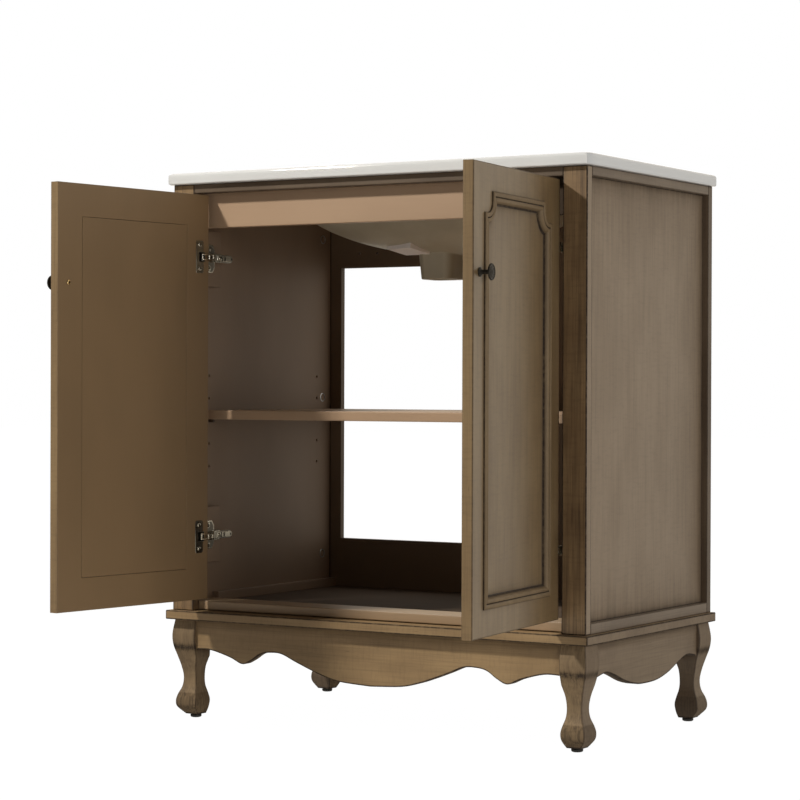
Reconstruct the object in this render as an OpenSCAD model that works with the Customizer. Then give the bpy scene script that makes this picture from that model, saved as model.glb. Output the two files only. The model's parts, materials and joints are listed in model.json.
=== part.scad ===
// Bathroom vanity unit with two inset doors, cabriole legs, an open back
// and a one-piece ceramic worktop with its basin.
// Millimetres. +Z is up, +X is to the right when facing the doors, and the doors are at -Y.
// The origin is on the floor, in the middle of the unit's bounding box, with the doors open.

/* [Worktop and basin] */
// Width of the worktop and of the board under the cabinet
top_w = 762; // [700:1:900]
// Depth of the worktop and of the board under the cabinet
top_d = 457; // [440:1:560]
// Height of the worktop's edge
top_edge_t = 18; // [14:1:30]
// Radius of the worktop's upright corners
top_corner_r = 3; // [2:0.5:15]
// Half length of the bowl outside, left to right
bowl_half_w = 265; // [220:1:285]
// Half width of the bowl outside, front to back
bowl_half_d = 158; // [130:1:160]
// Depth of the bowl outside, below the worktop's underside
bowl_depth = 112; // [90:1:118]
// Wall of the bowl
bowl_wall = 11; // [7:0.5:14]
// Distance from the worktop's front edge to the bowl's centre
bowl_centre_y = 232; // [215:1:240]
// Side of the square drain boss
boss_side = 57; // [52:1:72]
// Height of the drain boss below the bowl
boss_drop = 39; // [20:1:50]
// Diameter of the drain hole
drain_d = 45; // [40:0.5:50]
// Diameter of the tap hole
tap_hole_d = 35; // [28:0.5:38]
// Distance from the worktop's back edge to the tap hole's centre
tap_back = 34; // [26:0.5:38]

/* [Cabinet] */
// Height of the legs with their glides
leg_h = 160; // [130:1:220]
// Thickness of the board between legs and cabinet
plinth_t = 14.5; // [10:0.5:25]
// Height of the cabinet from that board to the worktop
case_h = 686; // [640:1:760]
// Overhang of the worktop past the cabinet's sides
side_inset = 7.5; // [4:0.5:15]
// Overhang of the worktop past the cabinet's front
front_inset = 10; // [8:0.5:20]
// Overhang of the worktop past the cabinet's back
back_inset = 3.5; // [0:0.5:10]
// Width of the front posts
post_w = 40; // [34:0.5:60]
// Thickness of the front posts and of the face rail
post_t = 16; // [12:0.5:22]
// Depth of the back posts, front to back
back_post_d = 15; // [12:0.5:30]
// Thickness of a side, from outer frame to inner face
side_t = 22.5; // [19:0.5:30]
// Depth that the side panel lies behind its frame
side_recess = 10; // [4:0.5:12]
// Height of the side frame's top rail
side_top_rail_h = 14.5; // [10:0.5:40]
// Height of the side frame's bottom rail
side_bottom_rail_h = 16.5; // [10:0.5:40]
// Height of the face rail over the doors
face_rail_h = 14.5; // [10:0.5:24]
// Thickness of the inner rail behind the doors' top
inner_rail_t = 16; // [12:0.5:25]
// Height of the inner rail
inner_rail_h = 69.5; // [40:0.5:80]
// Depth of the floor's front rail, front to back
floor_rail_d = 60; // [30:1:90]
// Height of the floor's front rail
floor_rail_h = 14; // [10:0.5:18]
// Shadow gap between the floor's front rail and the board below
floor_rail_gap = 1.5; // [0.5:0.1:3]
// Thickness of the floor panel
floor_t = 9; // [6:0.5:12]
// Width of the cleats along the floor's sides
cleat_w = 12; // [8:0.5:25]
// Height of the cleats
cleat_h = 15; // [10:0.5:25]
// Thickness of the back panel
back_t = 12; // [8:0.5:15]
// Width of the strip that the back panel's cut-out leaves on the left
back_left_w = 21.5; // [12:0.5:40]
// Width of the strip that the back panel's cut-out leaves on the right
back_right_w = 258; // [12:0.5:290]
// Height of the back panel's strip under the cut-out
back_low_h = 95; // [60:1:150]
// Height of the back panel's strip over the cut-out
back_high_h = 116; // [80:1:150]
// Diameter of the wall screw holes in the back panel
wall_hole_d = 4.5; // [3:0.1:8]
// Distance of each pair of wall screw holes from the middle
wall_hole_x = 273.5; // [200:0.5:290]
// Spacing of the two wall screw holes of a pair
wall_hole_step = 36; // [20:0.5:60]
// Distance of the wall screw holes below the worktop
wall_hole_drop = 91; // [60:1:100]

/* [Legs and aprons] */
// Width of a leg's square section at the knee
leg_w = 43.5; // [38:0.5:60]
// Set-in of the ankle on the outer faces
ankle_in = 12.3; // [6:0.1:14]
// Set-in of the ankle on the inner faces
ankle_back_in = 6; // [2:0.1:9]
// Bulge of the knee past the post's plane
knee_out = 1; // [0:0.1:3]
// Set-in of the foot at its widest, outer faces
foot_in = 3.2; // [0:0.1:8]
// Set-in of the toe at the glide, outer faces
toe_in = 15; // [8:0.5:16]
// Height of the ankle above the floor
ankle_z = 66; // [56:1:74]
// Height of the foot's widest place above the floor
foot_z = 28; // [22:1:34]
// Diameter of a glide
glide_d = 18; // [12:0.5:22]
// Height of a glide
glide_h = 6; // [3:0.5:10]
// Thickness of the aprons
apron_t = 16; // [10:0.5:22]
// Set-back of the aprons behind the legs' faces
apron_back = 5; // [1:0.5:10]
// Depth of the front apron at its ends
apron_end_h = 47.5; // [40:0.5:60]
// Depth of the front apron at its two crests
apron_crest_h = 44.5; // [36:0.5:56]
// Depth of the front apron at its two drop points
apron_drop_h = 66; // [55:0.5:75]
// Depth of the front apron in the middle
apron_mid_h = 85.5; // [70:0.5:100]
// Distance from the middle to a crest
apron_crest_x = 184; // [170:1:200]
// Distance from the middle to a drop point
apron_drop_x = 241; // [228:1:260]
// Depth of a side apron at its crests
side_crest_h = 47.5; // [40:0.5:60]
// Depth of a side apron in the middle
side_mid_h = 77; // [60:0.5:95]

/* [Doors] */
// Thickness of a door
door_t = 16; // [14:0.5:22]
// Gap between a door and its post
door_gap = 2; // [1.5:0.1:4]
// Gap between the two doors when they are shut
doors_mid_gap = 3; // [2:0.1:6]
// Gap over the doors
door_top_gap = 3.5; // [2:0.1:8]
// Height of the doors' bottom above the board under the cabinet
door_bottom_gap = 20.5; // [18:0.5:30]
// Margin of plain wood round the moulding
door_margin = 38; // [34:0.5:60]
// Width of the moulding that lies on the frame
mould_w = 12; // [8:0.5:16]
// Width of the moulding inside the window
mould_step_w = 5.5; // [3:0.5:9]
// Height of the moulding over the door's face
mould_proud = 3.5; // [1:0.1:5]
// Depth of the panel below the door's face
field_recess = 5; // [2:0.5:8]
// Groove round the panel on the inner face
panel_groove = 1.5; // [0.5:0.1:3]
// Width of the moulding's notched top corners
notch_w = 28; // [22:0.5:40]
// Height of the moulding's notched top corners
notch_h = 30; // [22:0.5:40]
// Radius of the notches
notch_r = 17; // [10:0.5:20]
// Opening angle of the doors as modelled
door_open = 97; // [80:0.5:105]

/* [Knobs] */
// Diameter of a knob's head
knob_d = 23.5; // [18:0.5:35]
// Projection of a knob
knob_h = 20; // [15:0.5:35]
// Diameter of a knob's base
knob_base_d = 13; // [10:0.5:17]
// Distance of a knob from the door's free edge
knob_in = 21.5; // [14:0.5:30]
// Height of the knobs above the doors' bottom
knob_up = 497; // [300:1:560]
// Diameter of a knob's screw
knob_screw_d = 4; // [3:0.1:6]

/* [Hinges] */
// Distance of the hinge axis inside the post's edge
axis_in = 8.9; // [7:0.1:9]
// Distance of the hinge axis behind the posts' front
axis_back = 1; // [0.5:0.1:2]
// Diameter of a hinge cup
cup_d = 35; // [30:0.5:35]
// Depth of a hinge cup
cup_depth = 11.5; // [9:0.1:12]
// Distance of the cup's centre from the door's edge
cup_in = 22.5; // [20:0.5:26]
// Height of the lower hinges above the doors' bottom
hinge_low = 100.5; // [90:0.5:140]
// Distance of the upper hinges below the doors' top
hinge_high = 99.5; // [90:0.5:140]
// Height of a hinge block
block_h = 91; // [70:1:120]
// Depth of a hinge block, front to back
block_d = 58; // [50:1:80]
// Length of a hinge arm behind its pin
arm_len = 57; // [52:1:80]
// Diameter of a hinge pin
hinge_pin_d = 4; // [3:0.1:5]
// Clearance of a hinge pin in its link, on the radius
pin_clear = 0.08; // [0.05:0.01:0.1]

/* [Shelf] */
// Height of the shelf's pins above the board under the cabinet
shelf_pin_up = 305; // [220:0.5:380]
// Thickness of the shelf
shelf_t = 15; // [12:0.5:22]
// Distance of the shelf's front from the posts' front
shelf_front = 51; // [45:1:90]
// Gap between the shelf and each side
shelf_gap = 0.5; // [0.3:0.1:2]
// Clearance between the shelf and its pins
shelf_rest = 0.3; // [0.3:0.1:1]
// Diameter of a shelf pin
pin_d = 5; // [4:0.5:8]
// Length of a shelf pin inside the cabinet
pin_out = 9; // [6:0.5:15]
// Step between the shelf pin holes
pin_step = 37; // [28:0.5:40]
// Diameter of the cam locks in the sides
cam_d = 15; // [10:0.5:18]

/* [Hidden] */

// Facets of round parts
$fn = 48;
// Overlap of a cutting body past the face that it cuts
cut = 1;

// Levels
plinth_z = leg_h;
case_z = plinth_z + plinth_t;
top_z = case_z + case_h;

// Planes of the cabinet, Y counted from the worktop's front edge
side_x = top_w / 2 - side_inset;
inner_x = side_x - side_t;
panel_x = side_x - side_recess;
front_y = front_inset;
back_y = top_d - back_inset;
opening_x = side_x - post_w;
back_panel_y = back_y - back_t;
back_post_y = back_y - back_post_d;
post_back_y = front_y + post_t;

// Doors, the right one shut, counted from the worktop's front edge
door_x0 = doors_mid_gap / 2;
door_x1 = opening_x - door_gap;
door_z0 = case_z + door_bottom_gap;
door_z1 = top_z - face_rail_h - door_top_gap;
door_in_y = front_y + door_t;
axis_x = opening_x - axis_in;
axis_y = front_y + axis_back;
knob_x = door_x0 + knob_in;
knob_z = door_z0 + knob_up;
panel_in = door_margin + mould_w;
hinge_zs = [door_z0 + hinge_low, door_z1 - hinge_high];

// The swing of a door's inner edge stays in front of the rails behind it
swing_r = sqrt(pow(axis_in - door_gap, 2) + pow(door_t - axis_back, 2));
rail_y = axis_y + swing_r + 0.6;
floor_rail_z = case_z + floor_rail_gap;
floor_panel_y = rail_y + floor_rail_d;
floor_top_z = floor_rail_z + floor_t;

// The open doors' tips set the bounding box, and its middle is the origin
door_reach = axis_x - door_x0;
door_tip_y = axis_y - door_reach * sin(door_open)
  + min((door_t - axis_back) * cos(door_open), -axis_back * cos(door_open));
origin_y = (door_tip_y + top_d) / 2;

// Hinge arm, its pin and the link, counted from the post's edge and front
hinge_pin_in = 19;
hinge_pin_back = 26;
arm_w = 15;
arm_t = 8;
link_w = 10.6;
link_t = 4.4;
link_knuckle_d = 5;
eye_d = 9;
plate_t = 2;
plate_h = 46;
plate_w = 34;
plate_taper = 7;
cheek_gap = 0.3;
pin_x = opening_x - hinge_pin_in;
pin_y = front_y + hinge_pin_back;

// Screws
screw_head_d = 7.5;
screw_head_h = 2;
screw_d = 3.5;
screw_l = 14;

// Colours
wood = [0.47, 0.41, 0.32];
wood_dark = [0.36, 0.30, 0.22];
tan_wood = [0.64, 0.54, 0.44];
ceramic = [0.93, 0.93, 0.91];
nickel = [0.74, 0.73, 0.70];
bronze = [0.10, 0.09, 0.08];
black = [0.06, 0.06, 0.06];

// Everything is drawn from the worktop's front edge and then set on the origin
module placed() {
  translate([0, -origin_y, 0]) children();
}

// Mirrors a piece of the right side to the left
module sided(side) {
  if (side > 0) placed() children();
  else placed() mirror([1, 0, 0]) children();
}

// Turns a piece of the shut right door to its open place
module on_door(side) {
  sided(side)
    translate([axis_x, axis_y, 0])
      rotate([0, 0, door_open])
        translate([-axis_x, -axis_y, 0])
          children();
}

module block(x0, x1, y0, y1, z0, z1) {
  translate([x0, y0, z0]) cube([x1 - x0, y1 - y0, z1 - z0]);
}

// A smooth curve through the points p, with n steps between two of them
function bend(a, b, c, d, t) =
  0.5 * (2 * b + (c - a) * t + (2 * a - 5 * b + 4 * c - d) * t * t + (3 * b - a - 3 * c + d) * t * t * t);
function smooth(p, n) = let (m = len(p) - 1) concat(
  [for (i = [0 : m - 1], k = [0 : n - 1]) bend(p[max(i - 1, 0)], p[i], p[i + 1], p[min(i + 2, m)], k / n)],
  [p[m]]
);
function flip(p) = [for (i = [len(p) - 1 : -1 : 0]) p[i]];
function mirrored(p) = [for (q = flip(p)) [-q[0], q[1]]];

// Bowl: a rounded oval that closes towards the bottom like an ellipse, a little fuller at its middle
bowl_steps = 64;
quarter = 90;
bowl_rings = 12;
bowl_corner = 2.6;
bowl_slope = 1.65;
bowl_rim_z = top_z + 2;
function oval(a, b) = [
  for (i = [0 : bowl_steps - 1])
    let (c = cos(360 * i / bowl_steps), s = sin(360 * i / bowl_steps))
    [a * sign(c) * pow(abs(c), 2 / bowl_corner), b * sign(s) * pow(abs(s), 2 / bowl_corner)]
];
module bowl_form(half_w, half_d, rim_z, depth) {
  hull()
    for (k = [0 : bowl_rings])
      let (t = quarter * k / (bowl_rings + 0.6), f = pow(cos(t), 2 / bowl_slope))
        translate([0, bowl_centre_y, rim_z - depth * sin(t)])
          linear_extrude(0.2) polygon(oval(half_w * f, half_d * f));
}
module bowl_outside() {
  bowl_form(bowl_half_w, bowl_half_d, bowl_rim_z, bowl_depth + bowl_rim_z - top_z);
}

// Drain boss: a square with round corners that widens a little up to the bowl
boss_corner_r = 13;
boss_draft = 1.16;
boss_in = 8;
module drain_boss(z, h) {
  translate([0, bowl_centre_y, z]) hull() {
    linear_extrude(1) offset(r = boss_corner_r) square(boss_side - 2 * boss_corner_r, center = true);
    translate([0, 0, h - 1]) linear_extrude(1) offset(r = boss_corner_r * boss_draft)
      square((boss_side - 2 * boss_corner_r) * boss_draft, center = true);
  }
}

module basin_top() {
  r = top_corner_r;
  bowl_bottom = top_z - bowl_depth;
  inside_depth = bowl_depth + top_edge_t - bowl_wall;
  color(ceramic) placed() difference() {
    union() {
      block(-top_w / 2 + r, top_w / 2 - r, 0, top_d, top_z, top_z + top_edge_t);
      block(-top_w / 2, top_w / 2, r, top_d - r, top_z, top_z + top_edge_t);
      for (x = [-1, 1], y = [r, top_d - r])
        translate([x * (top_w / 2 - r), y, top_z]) cylinder(r = r, h = top_edge_t);
      bowl_outside();
      drain_boss(bowl_bottom - boss_drop, boss_drop + bowl_wall + boss_in);
    }
    bowl_form(bowl_half_w - bowl_wall, bowl_half_d - bowl_wall, top_z + top_edge_t, inside_depth);
    block(-bowl_half_w, bowl_half_w, bowl_centre_y - bowl_half_d, bowl_centre_y + bowl_half_d,
      top_z + top_edge_t, top_z + top_edge_t + cut);
    translate([0, bowl_centre_y, bowl_bottom - boss_drop - cut])
      cylinder(d = drain_d, h = boss_drop + bowl_wall + boss_in + 2 * cut);
    translate([0, top_d - tap_back, top_z - cut])
      cylinder(d = tap_hole_d, h = top_edge_t + 2 * cut);
  }
}

// Pale pad stuck on the slope under the bowl, in front of the drain boss and to its left
pad_l = 58;
pad_w = 43;
pad_h = 11;
pad_x = -36.5;
pad_before = 52;
pad_up = 7.1;
pad_turn = -22;
pad_fall = 14.4;
pad_lean = 3.3;
module basin_pad() {
  color([0.82, 0.80, 0.77]) placed() difference() {
    translate([pad_x, bowl_centre_y - pad_before, top_z - bowl_depth + pad_up])
      rotate([-pad_fall, pad_lean, 0]) rotate([0, 0, pad_turn])
        block(-pad_l / 2, pad_l / 2, -pad_w / 2, pad_w / 2, 0, pad_h);
    bowl_outside();
  }
}

module plinth_board() {
  color(wood) difference() {
    placed() block(-top_w / 2, top_w / 2, 0, top_d, plinth_z, case_z);
    for (side = [-1, 1]) sided(side) {
      leg_bolt(front_y, 1);
      leg_bolt(back_y, -1);
    }
  }
}

// Set-in of a leg's outer face, from the glide up, as [set-in, height]
knee_z = leg_h - 24;
heel_in = 4.5;
function between(a, b, t) = a + (b - a) * t;
leg_outer = smooth([
  [toe_in, glide_h], [toe_in * 0.63, glide_h * 2], [foot_in * 1.3, foot_z * 0.68], [foot_in, foot_z],
  [between(foot_in, ankle_in, 0.25), between(foot_z, ankle_z, 0.26)],
  [ankle_in * 0.87, between(foot_z, ankle_z, 0.6)], [ankle_in, ankle_z],
  [ankle_in * 0.79, between(ankle_z, knee_z, 0.24)], [ankle_in * 0.41, between(ankle_z, knee_z, 0.49)],
  [0.2, between(ankle_z, knee_z, 0.74)], [-knee_out, knee_z], [2.5, leg_h]
], 5);
// Set-in of a leg's inner face
leg_inner = smooth([
  [heel_in, glide_h], [heel_in / 3, foot_z * 0.57], [0, foot_z],
  [ankle_back_in / 3, between(foot_z, ankle_z, 0.29)],
  [ankle_back_in * 0.87, between(foot_z, ankle_z, 0.63)], [ankle_back_in, ankle_z],
  [ankle_back_in * 0.8, between(ankle_z, knee_z, 0.23)],
  [ankle_back_in * 0.27, between(ankle_z, knee_z, 0.41)],
  [0, between(ankle_z, knee_z, 0.56)], [0, leg_h]
], 5);
leg_section = concat(
  [for (q = leg_outer) [side_x - q[0], q[1]]],
  [for (q = flip(leg_inner)) [side_x - leg_w + max(0, q[0]), q[1]]]
);
// A leg is cut from a square length along two outlines, one seen from the front, one from the side
module leg(face_y, inward) {
  reach = leg_w + 2 * knee_out + 2 * cut;
  intersection() {
    translate([0, face_y - inward * (knee_out + cut) + (inward > 0 ? reach : 0), 0])
      rotate([90, 0, 0]) linear_extrude(reach) polygon(leg_section);
    translate([side_x - leg_w - cut, 0, 0])
      rotate([90, 0, 90]) linear_extrude(reach + cut)
        polygon([for (q = leg_section) [face_y + inward * (side_x - q[0]), q[1]]]);
  }
}
module leg_bored(face_y, inward) {
  difference() {
    leg(face_y, inward);
    leg_bolt(face_y, inward);
  }
}
module leg_front(side) {
  color(wood) sided(side) leg_bored(front_y, 1);
}
module leg_back(side) {
  color(wood) sided(side) leg_bored(back_y, -1);
}

// A bolt joins each leg to the board above it, and ends short of the board's top
leg_bolt_d = 8;
leg_bolt_l = 40;
leg_bolt_cover = 4;
module leg_bolt(face_y, inward) {
  translate([side_x - leg_w / 2, face_y + inward * leg_w / 2, plinth_z - leg_bolt_l])
    cylinder(d = leg_bolt_d, h = leg_bolt_l + plinth_t - leg_bolt_cover);
}
module leg_bolts() {
  color(nickel) for (side = [-1, 1]) sided(side) {
    leg_bolt(front_y, 1);
    leg_bolt(back_y, -1);
  }
}

// A glide sits under the middle of each foot
glide_in = (toe_in + leg_w - heel_in) / 2;
module leg_glides() {
  color(black) for (side = [-1, 1])
    sided(side) for (y = [front_y + glide_in, back_y - glide_in])
      translate([side_x - glide_in, y, 0]) cylinder(d = glide_d, h = glide_h);
}

// Front apron: flat ends, a drop point and a crest on each side, a low belly in the middle
leg_in_x = side_x - leg_w;
function apron_edge(t) = plinth_z - between(apron_crest_h, apron_mid_h, t);
function drop_x(t) = -between(apron_drop_x, apron_crest_x, t);
function drop_z(t) = plinth_z - between(apron_drop_h, apron_crest_h, t);
apron_flat = 28;
apron_half = smooth([
  [-leg_in_x, plinth_z - apron_end_h], [-leg_in_x + apron_flat, plinth_z - apron_end_h],
  [drop_x(-0.42), plinth_z - between(apron_end_h, apron_drop_h, 0.5)],
  [drop_x(0), drop_z(0)], [drop_x(0.31), drop_z(0.3)], [drop_x(0.64), drop_z(0.84)], [drop_x(1), drop_z(1)],
  [-apron_crest_x * 0.895, apron_edge(0.035)], [-apron_crest_x * 0.76, apron_edge(0.28)],
  [-apron_crest_x * 0.595, apron_edge(0.56)], [-apron_crest_x * 0.46, apron_edge(0.76)],
  [-apron_crest_x * 0.3, apron_edge(0.92)], [0, apron_edge(1)]
], 5);
module front_apron() {
  color(wood) placed()
    translate([0, front_y + apron_back + apron_t, 0])
      rotate([90, 0, 0]) linear_extrude(apron_t)
        polygon(concat([[-leg_in_x, plinth_z]], apron_half, mirrored(apron_half), [[leg_in_x, plinth_z]]));
}

// Side apron: one crest at each end and a belly in the middle
apron_y0 = front_y + leg_w;
apron_y1 = back_y - leg_w;
side_mid_y = (apron_y0 + apron_y1) / 2;
side_half = (apron_y1 - apron_y0) / 2;
side_crest_x = side_half * 0.815;
function side_edge(t) = plinth_z - between(side_crest_h, side_mid_h, t);
side_apron_half = smooth([
  [-side_half, plinth_z - side_crest_h - 5], [-side_crest_x, plinth_z - side_crest_h],
  [-side_crest_x * 0.81, side_edge(0.2)], [-side_crest_x * 0.52, side_edge(0.68)],
  [-side_crest_x * 0.24, side_edge(0.95)], [0, side_edge(1)]
], 6);
module side_apron(side) {
  x = side_x - apron_back - apron_t;
  color(wood) sided(side)
    translate([x, side_mid_y, 0]) rotate([90, 0, 90]) linear_extrude(apron_t)
      polygon(concat([[-side_half, plinth_z]], side_apron_half, mirrored(side_apron_half),
        [[side_half, plinth_z]]));
}

module front_post(side) {
  color(wood) sided(side) block(opening_x, side_x, front_y, post_back_y, case_z, top_z);
}
module back_post(side) {
  color(wood) sided(side) block(inner_x, side_x, back_post_y, back_y, case_z, top_z);
}

// Side panel with its bores for the shelf pins and the cam locks
pin_z = case_z + shelf_pin_up;
pin_front = 67;
pin_back = 44.5;
pin_ys = [front_y + pin_front, back_panel_y - pin_back];
pin_hole_l = 10;
cam_y = back_panel_y - 26.5;
cam_low = 69;
cam_high = 66.5;
cam_over_pin = 1;
cam_zs = [case_z + cam_low, pin_z + pin_step + cam_over_pin, top_z - cam_high];
cam_depth = 9;
module side_panel(side) {
  color(wood_dark) sided(side) difference() {
    block(inner_x, panel_x, post_back_y, back_post_y, case_z, top_z);
    for (y = pin_ys, k = [-2 : 2])
      translate([inner_x - cut, y, pin_z + k * pin_step]) rotate([0, 90, 0])
        cylinder(d = pin_d, h = pin_hole_l + cut);
    for (z = cam_zs)
      translate([inner_x - cut, cam_y, z]) rotate([0, 90, 0]) cylinder(d = cam_d, h = cam_depth + cut);
  }
}
module side_top_rail(side) {
  color(wood) sided(side)
    block(panel_x, side_x, post_back_y, back_post_y, top_z - side_top_rail_h, top_z);
}
module side_bottom_rail(side) {
  color(wood) sided(side)
    block(panel_x, side_x, post_back_y, back_post_y, case_z, case_z + side_bottom_rail_h);
}

module face_top_rail() {
  color(wood) placed() block(-opening_x, opening_x, front_y, post_back_y, top_z - face_rail_h, top_z);
}
module inner_top_rail() {
  color(tan_wood) placed()
    block(-inner_x, inner_x, rail_y, rail_y + inner_rail_t, top_z - inner_rail_h, top_z);
}
module floor_front_rail() {
  color(tan_wood) placed()
    block(-inner_x, inner_x, rail_y, floor_panel_y, floor_rail_z, floor_rail_z + floor_rail_h);
}
module floor_panel() {
  color(wood_dark) placed()
    block(-inner_x, inner_x, floor_panel_y, back_panel_y, floor_rail_z, floor_top_z);
}
module floor_cleat(side) {
  color(wood_dark) sided(side)
    block(inner_x - cleat_w, inner_x, floor_panel_y, back_panel_y, floor_top_z, floor_top_z + cleat_h);
}
module back_panel() {
  x = inner_x;
  color(wood_dark) placed() difference() {
    block(-x, x, back_panel_y, back_y, case_z, top_z);
    block(-x + back_left_w, x - back_right_w, back_panel_y - cut, back_y + cut,
      case_z + back_low_h, top_z - back_high_h);
    for (s = [-1, 1], k = [-0.5, 0.5])
      translate([s * wall_hole_x + k * wall_hole_step, back_y + cut, top_z - wall_hole_drop])
        rotate([90, 0, 0]) cylinder(d = wall_hole_d, h = back_t + 2 * cut);
  }
}

// Hinge blocks fill the step between the side panel and the post's edge
block_y0 = post_back_y;
block_y1 = block_y0 + block_d;
plate_y0 = block_y0 + 5;
plate_y1 = plate_y0 + plate_w;
module at_hinges() {
  for (z = hinge_zs) translate([0, 0, z]) children();
}
module hinge_blocks() {
  color(tan_wood) for (side = [-1, 1]) sided(side) at_hinges() difference() {
    block(opening_x, inner_x, block_y0, block_y1, -block_h / 2, block_h / 2);
    for (s = [-1, 1]) {
      screw_bore(opening_x, plate_screw_y, s * plate_screw_z, screw_l - plate_t);
      screw_bore(opening_x, block_screw_y, s * block_screw_z, screw_l);
    }
  }
}
module screw_bore(x, y, z, depth) {
  translate([x - cut, y, z]) rotate([0, 90, 0]) cylinder(d = screw_d, h = depth + cut);
}
// Mounting plate with two tapered wings
module hinge_plates() {
  h = plate_h / 2;
  color(nickel) for (side = [-1, 1]) sided(side) at_hinges() difference() {
    translate([opening_x, 0, 0]) rotate([90, 0, -90]) linear_extrude(plate_t)
      polygon([
        [-plate_y1, arm_w / 2], [-plate_y1 + plate_taper, h],
        [-plate_y0 - plate_taper, h], [-plate_y0, arm_w / 2],
        [-plate_y0, -arm_w / 2], [-plate_y0 - plate_taper, -h],
        [-plate_y1 + plate_taper, -h], [-plate_y1, -arm_w / 2]
      ]);
    for (s = [-1, 1])
      screw_bore(opening_x - plate_t, plate_screw_y, s * plate_screw_z, plate_t + cut);
  }
}
plate_screw_y = (plate_y0 + plate_y1) / 2 - 1;
plate_screw_z = plate_h / 2 - 7;
block_screw_y = block_y0 + 14;
block_screw_z = block_h / 2 - 8;
// The arm stands on the plate, runs back from the pin and holds the pin in two cheeks
module hinge_arms() {
  x1 = opening_x - plate_t;
  x0 = pin_x + 1;
  slot_y = pin_y + arm_len - 21;
  cheek_z = link_w / 2 + cheek_gap;
  eye_clear = eye_d / 2 + 0.6;
  color(nickel) for (side = [-1, 1]) sided(side) at_hinges() difference() {
    union() {
      block(x0 + arm_t / 2, x1, plate_y0 + 9, plate_y1, -arm_w / 4, arm_w / 4);
      block(x0, x0 + arm_t, pin_y, pin_y + arm_len - arm_w / 2, -arm_w / 2, arm_w / 2);
      translate([x0, pin_y + arm_len - arm_w / 2, 0]) rotate([0, 90, 0]) cylinder(d = arm_w, h = arm_t);
      translate([pin_x, pin_y, -arm_w / 2]) cylinder(d = eye_d, h = arm_w);
    }
    translate([pin_x, pin_y, -cheek_z]) cylinder(r = eye_clear, h = 2 * cheek_z);
    translate([pin_x, pin_y, -arm_w]) cylinder(d = hinge_pin_d, h = 2 * arm_w);
    block(x0 - cut, x0 + 2.5, slot_y, slot_y + 3.5, -3.5, 3.5);
  }
}
module hinge_pins() {
  color(nickel) for (side = [-1, 1]) sided(side) at_hinges()
    translate([pin_x, pin_y, -arm_w / 2]) cylinder(d = hinge_pin_d, h = arm_w);
}
module screw_in_side(x, y, z) {
  translate([x, y, z]) rotate([0, -90, 0]) cylinder(d = screw_head_d, h = screw_head_h);
  translate([x, y, z]) rotate([0, 90, 0]) cylinder(d = screw_d, h = screw_l);
}
module hinge_screws() {
  color(nickel) for (side = [-1, 1]) sided(side) at_hinges() for (s = [-1, 1]) {
    screw_in_side(opening_x - plate_t, plate_screw_y, s * plate_screw_z);
    screw_in_side(opening_x, block_screw_y, s * block_screw_z);
  }
}

module cam_locks() {
  color(nickel) for (side = [-1, 1], z = cam_zs) sided(side)
    translate([inner_x - 0.4, cam_y, z]) rotate([0, 90, 0]) difference() {
      cylinder(d = cam_d, h = cam_depth + 0.4);
      translate([0, 0, -cut]) cylinder(d = 5, h = 3 + cut, $fn = 6);
    }
}

shelf_z = pin_z + pin_d / 2 + shelf_rest;
module shelf() {
  x = inner_x - shelf_gap;
  color(tan_wood) placed()
    block(-x, x, front_y + shelf_front, back_panel_y - 2, shelf_z, shelf_z + shelf_t);
}
module shelf_pins() {
  color(nickel) for (side = [-1, 1], y = pin_ys) sided(side)
    translate([inner_x - pin_out, y, pin_z]) rotate([0, 90, 0])
      cylinder(d = pin_d, h = pin_out + pin_hole_l);
}

// Outline of the moulding, set in by t from its outer edge, with notched top corners
notch_steps = 10;
function mould_outline(t) =
  let (
    x0 = door_x0 + door_margin, x1 = door_x1 - door_margin,
    z0 = door_z0 + door_margin, z1 = door_z1 - door_margin,
    cx = notch_w - notch_r, cz = notch_h - notch_r, r = notch_r + t,
    corner = [
      for (k = [0 : notch_steps])
        let (a = 90 * k / notch_steps) [cx + r * cos(a), cz + r * sin(a)]
    ]
  )
  concat(
    [[x0 + t, z0 + t], [x1 - t, z0 + t], [x1 - t, z1 - notch_h - t]],
    [for (q = flip(corner)) [x1 - q[0], z1 - q[1]]],
    [[x1 - notch_w - t, z1 - t], [x0 + notch_w + t, z1 - t]],
    [for (q = corner) [x0 + q[0], z1 - q[1]]],
    [[x0 + t, z1 - notch_h - t]]
  );
// A body with the outline set in by t, from one depth of the door to another
module mould_body(t, y0, y1) {
  translate([0, y1, 0]) rotate([90, 0, 0]) linear_extrude(y1 - y0) polygon(mould_outline(t));
}
module panel_space(grow, y0, y1) {
  block(door_x0 + panel_in - grow, door_x1 - panel_in + grow, y0, y1,
    door_z0 + panel_in - grow, door_z1 - panel_in + grow);
}
cup_x = door_x1 - cup_in;
field_y = front_y + field_recess;
module door_frame(side) {
  color(wood) on_door(side) difference() {
    block(door_x0, door_x1, front_y, door_in_y, door_z0, door_z1);
    mould_body(mould_w, front_y - cut, field_y + cut);
    panel_space(0, field_y, door_in_y + cut);
    at_hinges() translate([cup_x, door_in_y + cut, 0]) rotate([90, 0, 0]) {
      cylinder(d = cup_d, h = cup_depth + cut);
      for (s = [-1, 1])
        translate([0, s * wing_screw_z, 0]) cylinder(d = screw_d, h = wing_screw_l + cut);
    }
    translate([knob_x, door_in_y + cut, knob_z]) rotate([90, 0, 0])
      cylinder(d = knob_screw_d, h = door_t + 2 * cut);
  }
}
module door_panel(side) {
  color(wood) on_door(side) union() {
    panel_space(0, field_y, door_in_y - panel_groove);
    panel_space(-panel_groove, field_y, door_in_y);
  }
}
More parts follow.
